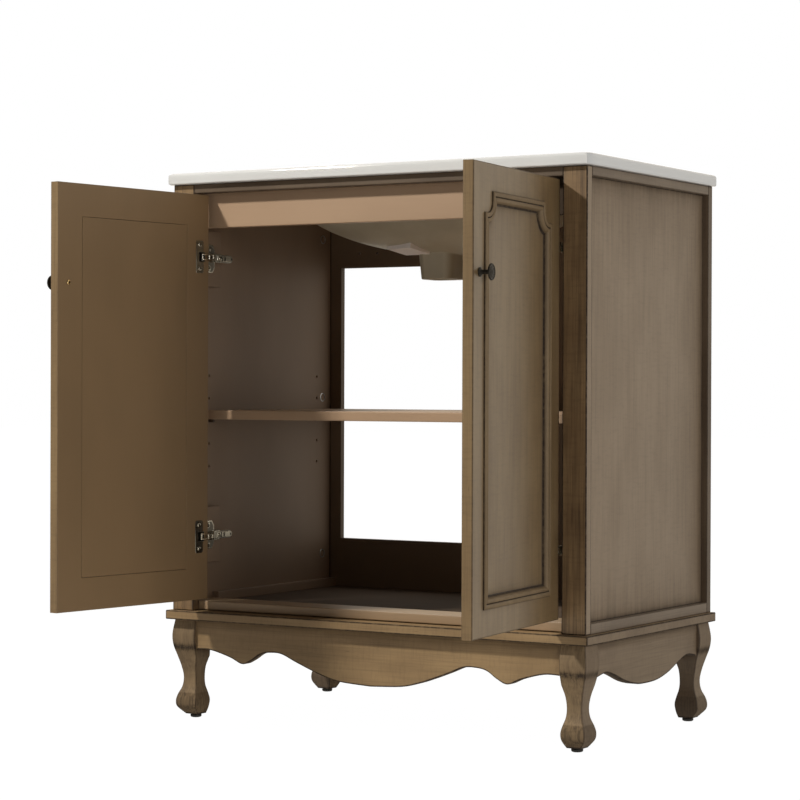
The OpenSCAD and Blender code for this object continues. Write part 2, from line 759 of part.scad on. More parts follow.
// Moulding: an outer bead on the frame, a groove, and an inner bead that steps down to the panel
module door_moulding(side) {
  groove = 1.5;
  bead = mould_w / 2;
  color(wood) on_door(side) difference() {
    union() {
      mould_body(0, front_y - mould_proud * 0.6, front_y);
      mould_body(1.2, front_y - mould_proud, front_y);
      mould_body(mould_w, front_y - mould_proud, field_y);
    }
    mould_body(mould_w + mould_step_w, front_y - mould_proud - cut, field_y + cut);
    difference() {
      mould_body(bead, front_y - mould_proud - cut, front_y - mould_proud * 0.3);
      mould_body(bead + groove, front_y - mould_proud - 2 * cut, front_y);
    }
    mould_body(mould_w + mould_step_w / 2, front_y - mould_proud - cut, front_y + field_recess / 2);
    mould_body(mould_w - 1, front_y - mould_proud - cut, front_y - 1);
  }
}

// Knob: a turned base, a thin neck and a domed head
module knob(side) {
  r = knob_d / 2;
  b = knob_base_d / 2;
  h = knob_h;
  dome = smooth([[r, h - 6.5], [r, h - 5], [r * 0.86, h - 2.2], [r * 0.5, h - 0.6], [0, h]], 5);
  color(bronze) on_door(side)
    translate([knob_x, front_y, knob_z]) rotate([90, 0, 0]) difference() {
      rotate_extrude() polygon(concat(
        [[0, 0], [b, 0], [b, 2], [b * 0.62, 4], [b * 0.55, h - 9], [b * 0.9, h - 7.5]], dome));
      translate([0, 0, -cut]) cylinder(d = knob_screw_d, h = h * 0.5 + cut);
    }
}
module knob_screw(side) {
  color(nickel) on_door(side)
    translate([knob_x, door_in_y, knob_z]) rotate([90, 0, 0]) {
      cylinder(d = knob_screw_d, h = door_t + knob_h * 0.5);
      translate([0, 0, -screw_head_h]) cylinder(d = screw_head_d, h = screw_head_h);
    }
}

// Hinge cup: a pressed cup in the door, with its rim and a screwed wing plate
cup_wall = 1.2;
rim_t = 0.9;
wing_w = 18;
wing_h = 52;
wing_screw_z = wing_h / 2 - 5;
wing_screw_l = 9;
wing_head_d = 6.5;
wing_head_h = 1.2;
module hinge_cups(side) {
  color(nickel) on_door(side) at_hinges()
    translate([cup_x, door_in_y, 0]) rotate([90, 0, 0]) difference() {
      union() {
        cylinder(d = cup_d, h = cup_depth);
        translate([0, 0, -rim_t]) cylinder(d = cup_d + 3, h = rim_t);
        translate([-wing_w / 2, -wing_h / 2, -rim_t]) cube([wing_w, wing_h, rim_t]);
        for (s = [-1, 1])
          translate([0, s * wing_screw_z, 0]) {
            translate([0, 0, -rim_t - wing_head_h]) cylinder(d = wing_head_d, h = wing_head_h + rim_t);
            cylinder(d = screw_d, h = wing_screw_l);
          }
      }
      translate([0, 0, -rim_t - cut])
        cylinder(d = cup_d - 2 * cup_wall, h = cup_depth + rim_t + cut - cup_wall);
    }
}

// Hinge link: an eye on the arm's pin, a neck round the door's edge and a tip in the cup's mouth
link_path = [[0, 0], [-11.5, -16], [-10.5, -25], [-4.5, -35.5]];
module link_bar(a, b) {
  d = b - a;
  translate([a[0], a[1]]) rotate([0, 0, atan2(d[1], d[0])])
    translate([0, -link_t / 2]) square([norm(d), link_t]);
}
module hinge_links(side) {
  color(nickel) sided(side) at_hinges() translate([pin_x, pin_y, -link_w / 2])
    linear_extrude(link_w) difference() {
      union() {
        circle(d = eye_d);
        for (k = [0 : 2]) link_bar(link_path[k], link_path[k + 1]);
        for (k = [1 : 3]) translate(link_path[k]) circle(d = link_knuckle_d);
      }
      circle(d = hinge_pin_d + 2 * pin_clear);
    }
}

basin_top();
basin_pad();
plinth_board();
leg_front(-1);  // leg_front_left
leg_front(1);  // leg_front_right
leg_back(-1);  // leg_back_left
leg_back(1);  // leg_back_right
leg_bolts();
leg_glides();
front_apron();
side_apron(-1);  // side_apron_left
side_apron(1);  // side_apron_right
front_post(-1);  // front_post_left
front_post(1);  // front_post_right
back_post(-1);  // back_post_left
back_post(1);  // back_post_right
side_panel(-1);  // side_panel_left
side_panel(1);  // side_panel_right
side_top_rail(-1);  // side_top_rail_left
side_top_rail(1);  // side_top_rail_right
side_bottom_rail(-1);  // side_bottom_rail_left
side_bottom_rail(1);  // side_bottom_rail_right
face_top_rail();
inner_top_rail();
floor_front_rail();
floor_panel();
floor_cleat(-1);  // floor_cleat_left
floor_cleat(1);  // floor_cleat_right
back_panel();
hinge_blocks();
hinge_plates();
hinge_arms();
hinge_pins();
hinge_screws();
cam_locks();
shelf();
shelf_pins();
door_frame(-1);  // left_door_frame
door_panel(-1);  // left_door_panel
door_moulding(-1);  // left_door_moulding
knob(-1);  // left_knob
knob_screw(-1);  // left_knob_screw
hinge_cups(-1);  // left_hinge_cups
hinge_links(-1);  // left_hinge_links
door_frame(1);  // right_door_frame
door_panel(1);  // right_door_panel
door_moulding(1);  // right_door_moulding
knob(1);  // right_knob
knob_screw(1);  // right_knob_screw
hinge_cups(1);  // right_hinge_cups
hinge_links(1);  // right_hinge_links
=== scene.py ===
"""Looks of the bathroom vanity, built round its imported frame. Metres, +Z up, doors towards -Y."""
import json
import math

import bmesh
import bpy
import numpy as np
from mathutils import Matrix, Vector


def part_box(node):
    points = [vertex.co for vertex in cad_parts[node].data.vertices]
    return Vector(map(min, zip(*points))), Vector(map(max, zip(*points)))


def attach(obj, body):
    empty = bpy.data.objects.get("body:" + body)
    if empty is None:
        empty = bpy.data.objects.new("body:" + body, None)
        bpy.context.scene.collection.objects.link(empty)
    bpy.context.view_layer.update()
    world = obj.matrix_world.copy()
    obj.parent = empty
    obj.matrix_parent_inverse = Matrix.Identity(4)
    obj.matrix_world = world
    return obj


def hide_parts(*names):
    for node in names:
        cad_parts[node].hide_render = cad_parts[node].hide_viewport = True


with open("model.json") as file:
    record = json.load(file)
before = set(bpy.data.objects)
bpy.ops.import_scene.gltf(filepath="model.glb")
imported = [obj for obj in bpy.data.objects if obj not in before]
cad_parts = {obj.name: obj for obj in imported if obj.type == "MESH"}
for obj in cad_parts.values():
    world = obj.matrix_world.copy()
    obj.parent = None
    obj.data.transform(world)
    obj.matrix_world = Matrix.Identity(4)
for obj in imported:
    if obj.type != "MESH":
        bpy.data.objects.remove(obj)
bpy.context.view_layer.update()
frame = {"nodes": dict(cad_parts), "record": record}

MM = 0.001
SIDES = (("left", -1), ("right", 1))


# Places taken from the frame, in millimetres

def low(node):
    """The lowest corner of a node."""
    return np.array(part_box(node)[0]) / MM


def high(node):
    """The highest corner of a node."""
    return np.array(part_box(node)[1]) / MM


slot_of = {s["node"]: s["material_slot"] for s in frame["record"]["subparts"]}
joint_at = {j["name"]: np.array(j.get("pos_m", (0, 0, 0))) / MM
            for j in frame["record"]["behaviour"]["joints"]}
top_low, top_high = low("basin_top"), high("basin_top")
post_low, post_high = low("front_post_right"), high("front_post_right")
panel_low, panel_high = low("side_panel_right"), high("side_panel_right")
inner_x = panel_low[0]
side_x = post_high[0]
opening_x = post_low[0]
top_z = post_high[2]
face_y = post_low[1]
back_y = high("back_post_right")[1]
leg_top = low("plinth_board")[2]

# Doors, drawn shut on the right side and then opened to where the frame has them
DOOR_T, DOOR_GAP, MIDDLE_GAP = 16.0, 2.0, 3.0
DOOR_OPEN = math.radians(97)
HINGE_PIN_HALF = 7.5
hinge_at = joint_at["right_door_hinge"][:2]
inner_y = face_y + DOOR_T
door_x0, door_x1 = MIDDLE_GAP / 2, opening_x - DOOR_GAP
door_z0, door_z1 = low("right_door_frame")[2], high("right_door_frame")[2]
hinge_zs = (low("hinge_pins")[2] + HINGE_PIN_HALF, high("hinge_pins")[2] - HINGE_PIN_HALF)
pin_at = joint_at["right_link_pivot"][:2]


# Meshes

# Least angle of a sharp edge in degrees, reach for merging points in metres, and the shift of the
# timber for each unit of a name's letters, so that no two pieces show the same grain
SHARP, MERGE, TIMBER_SHIFT = 32, 2e-6, 7.3


class Shell:
    """Gathers grids of points into one closed mesh. Points are in millimetres.

    Each point also has a place in the timber for the grain, and two marks from 0 to 1:
    line, for the dark glaze left in grooves and on edges by wear, and for painted shade in recesses,
    and soft, for glaze that fades away from a rim, for painted shade beside frames and mouldings and
    at boards' far ends, and for shaded or unglazed undersides."""

    def __init__(self):
        self.points, self.faces, self.line, self.soft, self.grain = [], [], [], [], []
        self.count = 0

    def grid(self, points, line=0.0, soft=0.0, around=False, grain=None):
        """A grid of points (rows, columns, 3); around joins the last column to the first."""
        rows, columns = points.shape[:2]
        index = np.arange(rows * columns).reshape(rows, columns) + self.count
        if around:
            index = np.concatenate([index, index[:, :1]], axis=1)
        quads = np.stack([index[:-1, :-1], index[:-1, 1:], index[1:, 1:], index[1:, :-1]], axis=-1)
        self.add(points.reshape(-1, 3), quads.reshape(-1, 4).tolist(),
                 np.broadcast_to(line, (rows, columns)), np.broadcast_to(soft, (rows, columns)),
                 None if grain is None else grain.reshape(-1, 3))
        return self

    def face(self, points, line=0.0, soft=0.0):
        """One flat face through the points in order."""
        self.add(points, [list(range(self.count, self.count + len(points)))],
                 np.broadcast_to(line, len(points)), np.broadcast_to(soft, len(points)))
        return self

    def add(self, points, faces, line, soft, grain=None):
        """Adds points with their faces and marks; without a grain they lie in the timber as they are."""
        self.points.append(np.asarray(points, float))
        self.grain.append(self.points[-1] if grain is None else grain)
        self.faces += faces
        self.line.append(np.asarray(line, float).ravel())
        self.soft.append(np.asarray(soft, float).ravel())
        self.count += len(points)

    def build(self, name, place=None, grain=(0, 1, 2), sharp=SHARP):
        """Makes the object. place moves the points to where the piece is; grain gives the order of
        the axes, the last of which runs along the timber; the name shifts each piece's timber."""
        points = np.concatenate(self.points)
        timber = np.concatenate(self.grain)[:, list(grain)] + sum(map(ord, name)) * TIMBER_SHIFT
        mesh = bpy.data.meshes.new(name)
        where = points if place is None else place(points)
        mesh.from_pydata((where * MM).tolist(), [], self.faces)
        set_marks(mesh, np.concatenate(self.line), np.concatenate(self.soft), timber * MM)
        work = bmesh.new()
        work.from_mesh(mesh)
        bmesh.ops.remove_doubles(work, verts=work.verts, dist=MERGE)
        bmesh.ops.recalc_face_normals(work, faces=work.faces)
        work.to_mesh(mesh)
        work.free()
        mesh.shade_smooth()
        mesh.set_sharp_from_angle(angle=math.radians(sharp))
        piece = bpy.data.objects.new(name, mesh)
        bpy.context.scene.collection.objects.link(piece)
        return piece


def set_marks(mesh, line, soft, timber):
    """Stores each point's two marks and its place in the timber."""
    for key, kind, field, values in (("line", "FLOAT", "value", line), ("soft", "FLOAT", "value", soft),
                                     ("timber", "FLOAT_VECTOR", "vector", timber)):
        mark = mesh.attributes.get(key) or mesh.attributes.new(key, kind, "POINT")
        mark.data.foreach_set(field, np.ascontiguousarray(values, dtype=np.float32).ravel())


def read_points(mesh):
    """The places of a mesh's points, in metres."""
    points = np.empty(len(mesh.vertices) * 3)
    mesh.vertices.foreach_get("co", points)
    return points.reshape(-1, 3)


def read_mark(mesh, key, width=1):
    """A mark of a mesh's points: one number each, or three for the timber."""
    values = np.empty(len(mesh.vertices) * width)
    mesh.attributes[key].data.foreach_get("vector" if width == 3 else "value", values)
    return values.reshape(-1, width) if width == 3 else values


def match_points(before, after):
    """The index in before of each point of after, or -1 where it is new."""
    both = np.round(np.vstack([before, after]) * 1e7).astype(np.int64)
    code = np.unique(both, axis=0, return_inverse=True)[1].ravel()
    first = np.full(code.max() + 1, -1)
    first[code[:len(before)]] = np.arange(len(before))
    return first[code[len(before):]]


def drill(piece, cutter, place=None):
    """Cuts the cutter's shape out of a piece. Old points keep their marks, new points have none,
    and the timber of new points follows from their place, because one is a straight map of the
    other."""
    mesh = piece.data
    before, line, soft = read_points(mesh), read_mark(mesh, "line"), read_mark(mesh, "soft")
    timber = read_mark(mesh, "timber", 3)
    affine = np.linalg.lstsq(np.c_[before, np.ones(len(before))], timber, rcond=None)[0]
    tool = cutter.build(piece.name + "_cutter", place)
    cut = piece.modifiers.new("cut", "BOOLEAN")
    cut.operation, cut.object, cut.solver = "DIFFERENCE", tool, "EXACT"
    done = bpy.data.meshes.new_from_object(piece.evaluated_get(bpy.context.evaluated_depsgraph_get()))
    piece.modifiers.clear()
    bpy.data.objects.remove(tool)
    after = read_points(done)
    old = match_points(before, after)
    set_marks(done, np.where(old < 0, 0, line[old]), np.where(old < 0, 0, soft[old]),
              np.c_[after, np.ones(len(after))] @ affine)
    done.shade_smooth()
    done.set_sharp_from_angle(angle=math.radians(SHARP))
    done.name = piece.name
    piece.data = done
    return piece


def fit(piece, material, body, *nodes):
    """Gives a piece its material, its body and the nodes that it stands for."""
    piece.data.materials.clear()
    piece.data.materials.append(material)
    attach(piece, body)
    if nodes:
        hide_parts(*nodes)
    return piece


def coat(piece, material, direction, least=0.6):
    """Gives the faces that look in a direction another material."""
    piece.data.materials.append(material)
    count = len(piece.data.polygons)
    normals, index = np.empty(count * 3), np.empty(count, np.int32)
    piece.data.polygons.foreach_get("normal", normals)
    piece.data.polygons.foreach_get("material_index", index)
    facing = normals.reshape(-1, 3) @ np.asarray(direction, float) > least
    index[facing] = len(piece.data.materials) - 1
    piece.data.polygons.foreach_set("material_index", index)
    piece.data.update()
    return piece


def mirrored(side):
    """A placing that mirrors a piece of the right side to the given side."""
    return lambda points: points * np.array([side, 1, 1])


def on_door(side):
    """A placing that opens a point of the shut right door by turning it round the hinge axis, and
    then mirrors it to the given side."""
    c, s = math.cos(DOOR_OPEN), math.sin(DOOR_OPEN)
    turn = np.array([[c, -s], [s, c]])

    def place(points):
        out = np.array(points, float)
        out[:, :2] = (out[:, :2] - hinge_at) @ turn.T + hinge_at
        return out * np.array([side, 1, 1])
    return place


def door_direction(side, direction):
    """Where a direction of the shut door points when it is open."""
    place = on_door(side)
    return (place(np.array([direction], float)) - place(np.zeros((1, 3))))[0]


def smooth_curve(knots, steps):
    """A curve through the knots, each stretch a cubic whose slopes come from the neighbours."""
    knots = np.asarray(knots, float)
    padded = np.vstack([knots[:1], knots, knots[-1:]])
    t = (np.arange(steps) / steps)[None, :, None]
    a, b, c, d = (padded[i:len(padded) - 3 + i][:, None, :] for i in range(4))
    curve = 0.5 * (2 * b + (c - a) * t + (2 * a - 5 * b + 4 * c - d) * t ** 2
                   + (3 * b - a - 3 * c + d) * t ** 3)
    return np.vstack([curve.reshape(-1, knots.shape[1]), knots[-1:]])


def between(a, b, t):
    """The value at share t of the way from a to b."""
    return a + (b - a) * t


def rounded_outline(x0, x1, y0, y1, radius, rims=(), arc=3):
    """A rectangle with round corners, and extra points at the rims' distances from each corner.

    Returns the points and their line marks, which are 1 on the arcs and 0 past them."""
    spans = ((x1 - x0), (y1 - y0))
    corners = ((x1, y0, -90), (x1, y1, 0), (x0, y1, 90), (x0, y0, 180))
    points, marks = [], []
    for k, (cx, cy, start) in enumerate(corners):
        inward = np.array([-1 if cx == x1 else 1, -1 if cy == y1 else 1])
        angles = np.radians(start + 90 * np.arange(arc + 1) / arc)
        corner = np.array([cx, cy])
        ring = corner + inward * radius + radius * np.stack([np.cos(angles), np.sin(angles)], axis=1)
        before, after = (0, 1) if k % 2 == 0 else (1, 0)
        step_in, step_out = np.zeros(2), np.zeros(2)
        step_in[before], step_out[after] = inward[before], inward[after]
        points += [corner + step_in * min(d, spans[before] * 0.49) for d in reversed(rims)] + list(ring)
        points += [corner + step_out * min(d, spans[after] * 0.49) for d in rims]
        marks += [0] * len(rims) + [1] * (arc + 1) + [0] * len(rims)
    return np.array(points), np.array(marks, float)


def board(lo, hi, radius=1.0, along=2, rim=1.6, edge=0.62, shaded=0.0):
    """A board with rounded edges: a rounded rectangle carried along the board, drawn in at both
    ends along a quarter circle, and closed with a flat face. edge is the line mark of its edges,
    and shaded is how far painted shade, held in the soft mark, reaches from its far end."""
    lo, hi = np.asarray(lo, float), np.asarray(hi, float)
    across = [a for a in range(3) if a != along]
    shell, length = Shell(), hi[along] - lo[along]
    turns = np.radians(90 * np.arange(4) / 3)
    ends = [(radius * (1 - math.sin(t)), radius * (1 - math.cos(t)), 1.0) for t in turns]
    ends.append((0.0, radius + rim, 0.0))
    middle = [(0.0, length - shaded, 0.0), (0.0, length - shaded * 0.7, 0.0)] if shaded else []
    levels = ends + middle + [(i, length - h, m) for i, h, m in reversed(ends)]
    rows, marks, shades = [], [], []
    for inset, height, mark in levels:
        ring, line = rounded_outline(
            lo[across[0]] + inset, hi[across[0]] - inset, lo[across[1]] + inset,
            hi[across[1]] - inset, max(radius - inset, radius * 0.15), (radius + rim,))
        row = np.zeros((len(ring), 3))
        row[:, across] = ring
        row[:, along] = lo[along] + height
        rows.append(row)
        marks.append(np.maximum(line, mark) * edge)
        shades.append(float(length - height < shaded * 0.8))
    shell.grid(np.array(rows), np.array(marks), np.array(shades)[:, None], around=True)
    for end, height in ((0, lo[along]), (-1, hi[along])):
        if min(hi[across] - lo[across]) < 2.4 * (radius + rim):
            shell.face(rows[end], edge)
            continue
        inner, _ = rounded_outline(
            lo[across[0]] + radius + rim, hi[across[0]] - radius - rim,
            lo[across[1]] + radius + rim, hi[across[1]] - radius - rim, 0.1, (radius + rim,))
        cap = np.zeros((len(inner), 3))
        cap[:, across] = inner
        cap[:, along] = height
        shell.grid(np.array([rows[end], cap]), np.array([[edge], [0.0]]), around=True)
        shell.face(cap)
    return shell


def grain_along(axis):
    """The order of the axes that puts the given one last."""
    return tuple([a for a in range(3) if a != axis] + [axis])


def timber(name, node, material, body="cabinet", along=2, **shape):
    """A board in the place of a node's box."""
    shell = board(low(node), high(node), along=along, **shape)
    return fit(shell.build(name, grain=grain_along(along)), material, body, node)


def lathe(shell, profile, centre, axis=1, sign=-1, line=None, steps=36, lobes=None):
    """Turns a profile of (radius, height) pairs round an axis through the centre. lobes are
    factors by which each ring's radius swings four times round, for a cross-shaped recess."""
    profile = np.asarray(profile, float)
    turn = 2 * math.pi * np.arange(steps) / steps
    swing = 1 + np.outer(np.zeros(len(profile)) if lobes is None else lobes, np.cos(4 * turn))
    ring = np.zeros((len(profile), steps, 3))
    first, second = [a for a in range(3) if a != axis]
    ring[..., first] = centre[first] + profile[:, :1] * swing * np.cos(turn)
    ring[..., second] = centre[second] + profile[:, :1] * swing * np.sin(turn)
    ring[..., axis] = centre[axis] + sign * profile[:, 1:]
    marks = np.zeros(len(profile)) if line is None else np.asarray(line, float)
    shell.grid(ring, marks[:, None], around=True)
    return shell


def rod(shell, centre, axis, start, end, radius, steps=20, bevel=0.25):
    """A round bar with bevelled ends along an axis."""
    place = np.array(centre, float)
    place[axis] = start
    length = end - start
    profile = [(0, 0), (radius - bevel, 0), (radius, bevel), (radius, length - bevel),
               (radius - bevel, length), (0, length)]
    return lathe(shell, profile, place, axis, 1, steps=steps)


def anticlockwise(outline):
    """The outline, turned round where its area, half the sum of x(k) y(k+1) - x(k+1) y(k), is negative."""
    area = np.sum(outline[:, 0] * np.roll(outline[:, 1], -1) - np.roll(outline[:, 0], -1) * outline[:, 1])
    return outline if area > 0 else outline[::-1]


def shrink(outline, d):
    """Draws a closed anticlockwise outline in by d, each corner along its bisector."""
    ahead = np.roll(outline, -1, axis=0) - outline
    ahead /= np.maximum(np.linalg.norm(ahead, axis=1, keepdims=True), 1e-9)
    inward = np.stack([-ahead[:, 1], ahead[:, 0]], axis=1)
    bisector = inward + np.roll(inward, 1, axis=0)
    reach = np.maximum((bisector * inward).sum(axis=1, keepdims=True), 0.25)
    return outline + d * bisector / reach


def slab(shell, outline, axis, lo, hi, bevel=0.4, line=0.0):
    """A plate: its outline carried from lo to hi along an axis, with bevelled rims, flat faces."""
    across = [a for a in range(3) if a != axis]
    outline = anticlockwise(np.asarray(outline, float))
    rows = np.zeros((4, len(outline), 3))
    for row, (inset, level) in zip(rows, ((bevel, lo), (0, lo + bevel), (0, hi - bevel), (bevel, hi))):
        row[:, across] = shrink(outline, inset)
        row[:, axis] = level
    shell.grid(rows, line, around=True)
    return shell.face(rows[0], line).face(rows[-1], line)


def box_outline(x0, x1, y0, y1):
    """A rectangle's four corners."""
    return np.array([[x0, y0], [x1, y0], [x1, y1], [x0, y1]], float)


def stadium(x0, x1, half, steps=12):
    """A bar along the first axis with its far end round."""
    turn = np.radians(np.linspace(-90, 90, steps))
    cap = np.stack([x1 - half + half * np.cos(turn), half * np.sin(turn)], axis=1)
    return np.vstack([[[x0, -half]], cap, [[x0, half]]])


def up_and_down(half):
    """An outline whose second half mirrors its first one across the first axis."""
    half = np.array(half, float)
    return np.vstack([half, (half * (1, -1))[::-1]])


def ribbon(path, half, steps=8):
    """A bar of one width along a path, with round ends."""
    path = np.asarray(path, float)
    along = np.diff(path, axis=0)
    along /= np.linalg.norm(along, axis=1, keepdims=True)
    side = np.stack([-along[:, 1], along[:, 0]], axis=1)
    bend = np.vstack([side[:1], side[:-1] + side[1:], side[-1:]])
    reach = np.vstack([[[1.0]], (bend[1:-1] * side[1:]).sum(axis=1, keepdims=True), [[1.0]]])
    bend = bend / reach * half
    turn = np.radians(np.linspace(90, -90, steps))[1:-1]

    def cap(point, direction, normal):
        return point + half * (np.outer(np.cos(turn), direction) + np.outer(np.sin(turn), normal))
    return np.vstack([path + bend, cap(path[-1], along[-1], side[-1]),
                      (path - bend)[::-1], cap(path[0], -along[0], -side[0])])


# Shader maths

class Value:
    """A socket with arithmetic: each operation adds its Math node."""

    def __init__(self, paint, socket):
        self.paint, self.socket = paint, socket

    def math(self, operation, *others, swap=False):
        inputs = (others[0], self) if swap else (self, *others)
        return self.paint.node("ShaderNodeMath", {"operation": operation}, *inputs)

    def __add__(self, other):
        return self.math("ADD", other)

    def __radd__(self, other):
        return self.math("ADD", other)

    def __sub__(self, other):
        return self.math("SUBTRACT", other)

    def __rsub__(self, other):
        return self.math("SUBTRACT", other, swap=True)

    def __mul__(self, other):
        return self.math("MULTIPLY", other)

    def __rmul__(self, other):
        return self.math("MULTIPLY", other)

    def most(self, other):
        """The larger of the two."""
        return self.math("MAXIMUM", other)

    def rise(self, start, end):
        """0 below start, 1 past end, smooth between."""
        return self.paint.node("ShaderNodeMapRange", {"interpolation_type": "SMOOTHSTEP", "clamp": True},
                               self, start, end, 0.0, 1.0)


class Paint:
    """The nodes of one material, or of the sky."""

    def __init__(self, owner):
        owner.use_nodes = True
        self.owner, self.tree = owner, owner.node_tree
        self.shader = self.tree.nodes.get("Principled BSDF")

    def node(self, kind, settings=None, *inputs, out=0, **named):
        """Adds a node: its settings first, then the values or links of its sockets."""
        made = self.tree.nodes.new(kind)
        for key, value in (settings or {}).items():
            setattr(made, key, value)
        for key, value in (*enumerate(inputs), *named.items()):
            self.set(made.inputs[key.replace("_", " ") if isinstance(key, str) else key], value)
        return Value(self, made.outputs[out])

    def set(self, socket, value):
        """Links a socket to another one, or gives it a value; None leaves it as it is."""
        if isinstance(value, Value):
            self.tree.links.new(value.socket, socket)
        elif value is not None:
            socket.default_value = (*value, 1) if socket.type == "RGBA" and len(value) == 3 else value

    def finish(self, **sockets):
        """Sets the shader's own sockets and gives the material back."""
        for key, value in sockets.items():
            self.set(self.shader.inputs[key.replace("_", " ")], value)
        return self.owner

    def mark(self, name):
        """A mark of the mesh, from 0 to 1."""
        return self.node("ShaderNodeAttribute", {"attribute_name": name}, out=2)

    def timber(self):
        """A point's place in the timber."""
        return self.node("ShaderNodeAttribute", {"attribute_name": "timber"}, out=1)

    def place(self):
        """A point's place on the object."""
        return self.node("ShaderNodeTexCoord", out=3)

    def axes(self, vector):
        """A vector's three parts."""
        split = self.node("ShaderNodeSeparateXYZ", None, vector)
        return [Value(self, s) for s in split.socket.node.outputs]

    def noise(self, vector, scale, detail, rough):
        """Noise from 0 to 1 over a place, with its count of octaves and how rough they are."""
        return self.node("ShaderNodeTexNoise", {"normalize": True}, Vector=vector, Scale=scale,
                         Detail=detail, Roughness=rough)

    def grain(self, across, along, detail=3.0, rough=0.55):
        """Noise that follows the timber, with a scale across it and one along it."""
        place = self.node("ShaderNodeVectorMath", {"operation": "MULTIPLY"}, self.timber(),
                          (across, across, along))
        return self.noise(place, 1.0, detail, rough)

    def blend(self, amount, first, second):
        """A mix of two colours."""
        mix = self.tree.nodes.new("ShaderNodeMix")
        mix.data_type, mix.blend_type, mix.clamp_factor = "RGBA", "MIX", True
        self.set(mix.inputs[0], amount)
        self.set(mix.inputs[6], first)
        self.set(mix.inputs[7], second)
        return Value(self, mix.outputs[2])

    def bump(self, height, distance, strength):
        """A normal that leans with the slope of the height."""
        return self.node("ShaderNodeBump", None, Strength=strength, Distance=distance, Height=height)


def srgb(*levels):
    """Screen levels from 0 to 255 as the linear colour that a shader takes."""
    c = np.array(levels, float) / 255
    return tuple(np.where(c <= 0.04045, c / 12.92, ((c + 0.055) / 1.055) ** 2.4).tolist())


# The dark glaze's colour, also used for painted shade beside frames, mouldings and the plinth, and on
# boards' far ends
GLAZE_AND_SHADE = srgb(40, 29, 19)


def glazed_wood(name, tone, shade, dark, streaks=1.0, gloss=0.36, cracks=0.0):
    """Stained veneer under a dark glaze: fine streaks along the timber, broad patches, short dark
    marks, and glaze left in grooves, on edges and, where there are cracks, in fine lines across.
    The soft and line marks also paint shade beside frames, round the door fields, under the plinth
    and on the moulding's inner slope. tone, shade and dark are screen levels."""
    paint = Paint(bpy.data.materials.new(name))
    tone, shade, dark = srgb(*tone), srgb(*shade), srgb(*dark)
    fine = paint.grain(420, 9, 4.0, 0.65)
    broad = paint.grain(95, 5)
    cross = paint.grain(45, 260, 2.0, 0.5)
    cloud = paint.grain(13, 6)
    ticks = paint.grain(800, 60, 2.0, 0.6)
    where = paint.grain(22, 9, 2.0, 0.5)
    colour = paint.blend(cloud.rise(0.35, 0.68), tone, shade)
    colour = paint.blend(broad.rise(0.42, 0.75) * (0.2 * streaks), colour, dark)
    colour = paint.blend(fine.rise(0.45, 0.72) * (0.3 * streaks), colour, dark)
    colour = paint.blend(cross.rise(0.45, 0.75) * 0.14, colour, dark)
    flecks = ticks.rise(0.62, 0.74) * where.rise(0.5, 0.68)
    colour = paint.blend(flecks * (0.7 * streaks), colour, dark)
    rubbed = paint.noise(paint.timber(), 120.0, 3.0, 0.6).rise(0.3, 0.6)
    line, soft = paint.mark("line"), paint.mark("soft")
    # Where the soft mark is: glaze fading from rims, which beside the side panels' frames, round the door
    # fields and on the aprons' tops is painted shade as well
    colour = paint.blend(soft * (0.6 + 0.4 * fine.rise(0.35, 0.65)) * (0.4 + 0.9 * where), colour, GLAZE_AND_SHADE)
    if cracks:
        across, down = paint.grain(120, 700, 2.0, 0.6), paint.grain(330, 40, 2.0, 0.6)
        colour = paint.blend(across.rise(0.48, 0.58) * soft.rise(0.55, 0.9) * cracks, colour, GLAZE_AND_SHADE)
        colour = paint.blend(down.rise(0.52, 0.62) * soft * (1.3 * cracks), colour, GLAZE_AND_SHADE)
    glaze = line.rise(0.3, 0.9) * (0.72 + 0.28 * rubbed)
    colour = paint.blend(glaze, colour, GLAZE_AND_SHADE)
    height = fine * 0.5 + ticks * 0.3 - flecks * 0.6
    return paint.finish(Base_Color=colour, Roughness=gloss + 0.1 * broad + 0.45 * glaze.most(soft),
                        Normal=paint.bump(height, 0.0002, 0.45))


side_wood = glazed_wood("side_wood", (146, 125, 100), (134, 113, 88), (90, 73, 55), 0.9)
# A darker, greyer copy of the front wood for faces that look to the side: painted shade
base_wood = glazed_wood("base_wood", (138, 119, 95), (124, 105, 83), (82, 66, 50), 0.8, 0.55)
rail_wood = glazed_wood("rail_wood", (124, 107, 87), (110, 93, 75), (72, 58, 44), 1.0, 0.42)
back_wood = glazed_wood("back_wood", (98, 81, 62), (84, 68, 51), (52, 39, 28), 1.0, 0.46)
front_wood = glazed_wood("front_wood", (152, 126, 89), (136, 111, 77), (82, 63, 43), 0.85, 0.5)
door_wood = glazed_wood("door_wood", (132, 110, 78), (118, 96, 66), (76, 59, 40), 0.8, 0.3)
beading_wood = glazed_wood("beading_wood", (134, 112, 80), (118, 97, 67), (76, 59, 40), 1.0, 0.55)
post_wood = glazed_wood("post_wood", (146, 119, 84), (118, 93, 64), (46, 33, 22), 2.0, 0.4)
leg_wood = glazed_wood("leg_wood", (144, 121, 88), (122, 101, 74), (60, 46, 32), 1.5, 0.66, 0.65)


def plain_board(name, tone, shade, rough=0.5):
    """Smooth laminated board: two close tones, as screen levels, in soft clouds, with a faint grain."""
    paint = Paint(bpy.data.materials.new(name))
    cloud, fine = paint.grain(9, 4, 2.0, 0.5), paint.grain(260, 14, 3.0, 0.6)
    colour = paint.blend(cloud.rise(0.3, 0.7) * 0.7 + 0.3 * fine, srgb(*tone), srgb(*shade))
    # The soft mark paints shade on the far ends of the inner rail and the shelf
    colour = paint.blend(paint.mark("soft") * 0.92, colour, GLAZE_AND_SHADE)
    colour = paint.blend(paint.mark("line").rise(0.4, 1.0) * 0.5, colour, GLAZE_AND_SHADE)
    return paint.finish(Base_Color=colour, Roughness=rough + 0.08 * cloud + 0.5 * paint.mark("soft"),
                        Normal=paint.bump(fine, 0.00008, 0.4))


